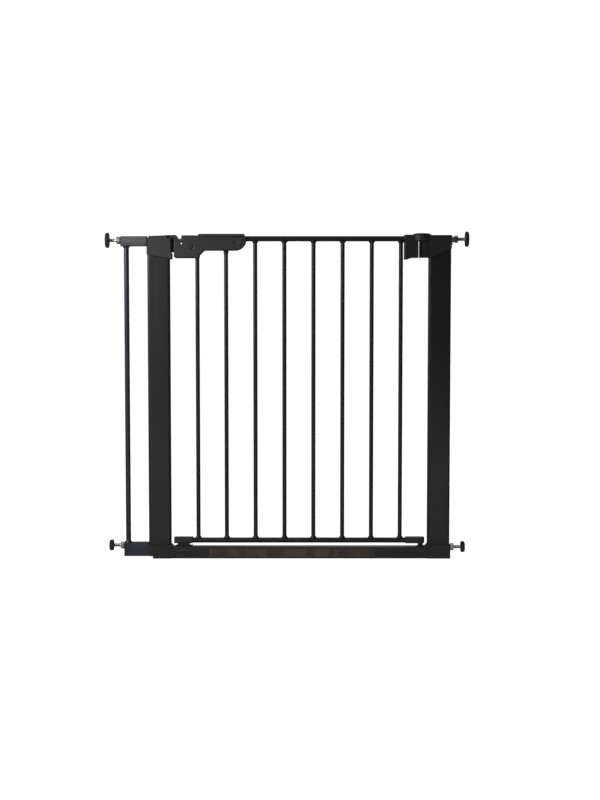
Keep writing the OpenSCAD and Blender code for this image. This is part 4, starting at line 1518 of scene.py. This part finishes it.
    def _screws(self) -> None:
        """Black cross-head screws of the two shells, one at the front and three at the back."""
        low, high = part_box("handle_front_shell")
        lock = low.x + self.lock_width
        grip_low = high.z - self.top_drop - self.grip_height
        back_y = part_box("handle_screws")[1].y
        black = self.shop.finishes.get(self.shop.finishes.black_steel)
        front = screw_heads("screw_front",
                            [(low.x + self.screw_side, low.y + 0.0003, low.z + self.screw_rise)],
                            0.003, 0.0018, True, black)
        back = screw_heads("screw_back", [(low.x + 0.0095, back_y, low.z + 0.0062),
                                          (lock + 0.033, back_y, grip_low + 0.0062),
                                          (lock + 0.083, back_y, grip_low + 0.007)],
                           0.003, 0.0018, False, black)
        heads = join("handle_screw_heads", [front, back])
        self.shop.place(heads, Body.DOOR, self.shop.finishes.black_steel, ["handle_screws"],
                        made=True)

    def _spring(self) -> None:
        """Round-wire return spring of the bolt."""
        low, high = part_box("return_spring")
        wire, coils, sides, steps = 0.0004, 6, 10, 24
        radius = (high.z - low.z) / 2 - wire
        start, end = low.x + wire, high.x - wire
        middle = (low.z + high.z) / 2
        rings = coils * steps
        points: list[Point] = []
        for ring in range(rings + 1):
            turn = 2 * math.pi * ring / steps
            x = start + (end - start) * ring / rings
            for k in range(sides):
                around = 2 * math.pi * k / sides
                reach = radius + wire * math.cos(around)
                points.append((x + wire * math.sin(around), reach * math.cos(turn),
                               middle + reach * math.sin(turn)))
        faces = [[r * sides + k, r * sides + (k + 1) % sides, (r + 1) * sides + (k + 1) % sides,
                  (r + 1) * sides + k] for r in range(rings) for k in range(sides)]
        faces += [list(range(sides)), list(range(rings * sides, (rings + 1) * sides))]
        spring = solid_from("bolt_spring", points, faces)
        self.shop.place(spring, Body.DOOR, self.shop.finishes.zinc, ["return_spring"])
        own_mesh(spring)


@dataclass
class Hinges:
    """The upper wing with its knuckle and cap, the bush, and the lower blocks."""

    shop: Workshop
    rib_half: Point = (0.0006, 0.0006, 0.0105)
    hole_radius: float = 0.0027
    hole_side: float = 0.0060
    hole_drop: float = 0.0059

    def build(self) -> None:
        """Builds the hinge side and the two lower blocks."""
        fin = self.shop.finishes
        self._wing()
        self.shop.dress(["hinge_bush"], fin.nylon)
        for node in ("lower_hinge_block", "lower_latch_block"):
            self.shop.soften(node, Body.DOOR, fin.shell, 0.0009)
        self._cap()
        self._ribs()

    def _wing(self) -> None:
        """Wing with its knuckle, and the round hole in the knuckle's front."""
        cap_low, cap_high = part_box("hinge_cap")
        spot = ((cap_low.x + cap_high.x) / 2 + self.hole_side, -0.024, cap_low.z - self.hole_drop)
        profile = [(0.0, 0.0), (self.hole_radius, 0.0), (self.hole_radius, 0.0105), (0.0, 0.0105)]
        wing = softened("hinge_wing", 0.0009)
        carve(wing, [lathe("knuckle_hole", profile, spot, Axis.Y, 32)])
        self.shop.place(wing, Body.DOOR, self.shop.finishes.shell, ["hinge_wing"])

    def _cap(self) -> None:
        """Domed cap over the bush."""
        low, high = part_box("hinge_cap")
        radius, rise = (high.x - low.x) / 2, high.z - low.z
        profile: list[Flat] = [(0.0, 0.0), (radius - 0.0003, 0.0), (radius, 0.0003)]
        for k in range(1, 15):
            angle = math.pi / 2 * k / 14
            profile.append((radius * math.cos(angle) ** 0.8 if k < 14 else 0.0,
                            0.0003 + (rise - 0.0003) * math.sin(angle) ** 0.9))
        cap = lathe("knuckle_cap", profile, ((low.x + high.x) / 2, 0.0, low.z), Axis.Z, 80)
        self.shop.place(cap, Body.DOOR, self.shop.finishes.shell, ["hinge_cap"], 40)

    def _ribs(self) -> None:
        """Upright ribs in the wing's recessed panel."""
        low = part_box("hinge_wing")[0]
        start = (low.x + 0.0105, -0.0119, low.z + 0.0150)
        ribs = rib_row("wing_ribs", start, (0.0055, 0.0, 0.0), 3, self.rib_half,
                       self.shop.finishes.get(self.shop.finishes.shell))
        self.shop.place(ribs, Body.DOOR, self.shop.finishes.shell, made=True)


# ---------- Studio ----------


@dataclass
class Studio:
    """Camera, lights, the black card and the pale floor with its sweep."""

    shop: Workshop
    target: Point = (0.02895, 0.0, 0.3586)
    distance: float = 3.0
    elevation: float = 3.5
    lens: float = 59.82

    def build(self) -> None:
        """Sets the whole studio."""
        self._camera()
        self._floor()
        self._card()
        self._dome()
        self._lights()
        self._surroundings()

    def _camera(self) -> None:
        """Camera straight in front, a little above the middle."""
        tilt = math.radians(self.elevation)
        data = bpy.data.cameras.new("camera")
        data.lens = self.lens
        data.sensor_width = 36.0
        data.clip_end = 60.0
        camera = bpy.data.objects.new("camera", data)
        camera.location = (self.target[0], self.target[1] - self.distance * math.cos(tilt),
                           self.target[2] + self.distance * math.sin(tilt))
        camera.rotation_euler = (math.pi / 2 - tilt, 0.0, 0.0)
        bpy.context.scene.collection.objects.link(camera)
        bpy.context.scene.camera = camera

    def _floor(self) -> None:
        """Floor that curves up into a backdrop."""
        width, front, back, bend, tall = 14.0, -9.0, 5.0, 2.0, 7.0
        profile: list[Flat] = [(front, 0.0), (back, 0.0)]
        for k in range(1, 17):
            angle = math.pi / 2 * k / 16
            profile.append((back + bend * math.sin(angle), bend * (1 - math.cos(angle))))
        profile.append((back + bend, tall))
        points = [(side * width / 2, y, z - 0.0003) for y, z in profile for side in (-1, 1)]
        faces = [(2 * i, 2 * i + 1, 2 * i + 3, 2 * i + 2) for i in range(len(profile) - 1)]
        mesh = bpy.data.meshes.new("studio_floor")
        mesh.from_pydata(points, [], faces)
        floor = new_object("studio_floor", mesh)
        mesh.shade_smooth()
        self.shop.coat(floor, self.shop.finishes.paper)
        floor.visible_glossy = False

    def _card(self) -> None:
        """Black card in front at the right, outside the view, that keeps light off that post."""
        spots = [(0.42, -2.1, 0.12), (3.4, -0.9, 0.12), (3.4, -0.9, 3.2), (0.42, -2.1, 3.2)]
        mesh = bpy.data.meshes.new("black_card")
        mesh.from_pydata(spots, [], [(0, 1, 2, 3)])
        card = new_object("black_card", mesh)
        self.shop.coat(card, self.shop.finishes.card)
        card.visible_camera = False

    def _dome(self) -> None:
        """White dome that only the camera sees, so that every side stands before white."""
        shape = bmesh.new()
        bmesh.ops.create_icosphere(shape, subdivisions=4, radius=20.0)
        bmesh.ops.reverse_faces(shape, faces=shape.faces)
        mesh = bpy.data.meshes.new("studio_dome")
        shape.to_mesh(mesh)
        shape.free()
        dome = new_object("studio_dome", mesh)
        self.shop.coat(dome, self.shop.finishes.dome)
        for kind in ("diffuse", "glossy", "transmission", "shadow"):
            setattr(dome, "visible_" + kind, False)

    def _light(self, name: str, place: Point, aim: Point, size: Flat, power: float,
               spread: float = 180.0) -> None:
        """One rectangular soft light.

        Args:
            name: Name of the light.
            place: Where it hangs.
            aim: What it looks at.
            size: Its width and height.
            power: Its power in watts.
            spread: Angle of its beam in degrees.
        """
        data = bpy.data.lights.new(name, "AREA")
        data.shape = "RECTANGLE"
        data.size, data.size_y = size
        data.energy = power
        data.spread = math.radians(spread)
        lamp = bpy.data.objects.new(name, data)
        lamp.location = place
        lamp.visible_camera = False
        lamp.rotation_euler = (Vector(aim) - Vector(place)).to_track_quat("-Z", "Y").to_euler()
        bpy.context.scene.collection.objects.link(lamp)

    def _lights(self) -> None:
        """Near key at the upper left, a low strip in front, a fill behind and an overhead."""
        self._light("key", (-0.98, -0.78, 0.98), (-0.33, 0.0, 0.5), (0.4, 0.4), 3.2, 75.0)
        self._light("low_strip", (0.1, -1.3, 0.05), (0.1, 0.0, 0.02), (1.5, 0.16), 0.26, 60.0)
        self._light("back_fill", (0.5, 2.6, 1.7), (0.0, 0.0, 0.4), (1.6, 1.6), 9.0)
        self._light("overhead", (0.0, 0.2, 3.2), (0.0, 0.0, 0.0), (3.0, 2.0), 14.0)

    def _surroundings(self) -> None:
        """Even pale surroundings and plain colour handling."""
        world = bpy.data.worlds.new("studio")
        world.use_nodes = True
        world.node_tree.nodes["Background"].inputs["Color"].default_value = (1.0, 1.0, 1.0, 1.0)
        world.node_tree.nodes["Background"].inputs["Strength"].default_value = 0.10
        bpy.context.scene.world = world
        bpy.context.scene.view_settings.view_transform = "Standard"


def main() -> None:
    """Builds the gate in order, then its studio."""
    logging.basicConfig(level=logging.INFO, format="%(name)s: %(message)s")
    shop = Workshop(Finishes())
    for assembly in (Doorway(shop), Extension(shop), Spindles(shop), DoorBars(shop),
                     LockHandle(shop), Hinges(shop), Studio(shop)):
        LOG.info("building %s", type(assembly).__name__)
        assembly.build()
    LOG.info("%d pieces made", shop.count)


if __name__ == "__main__":
    main()
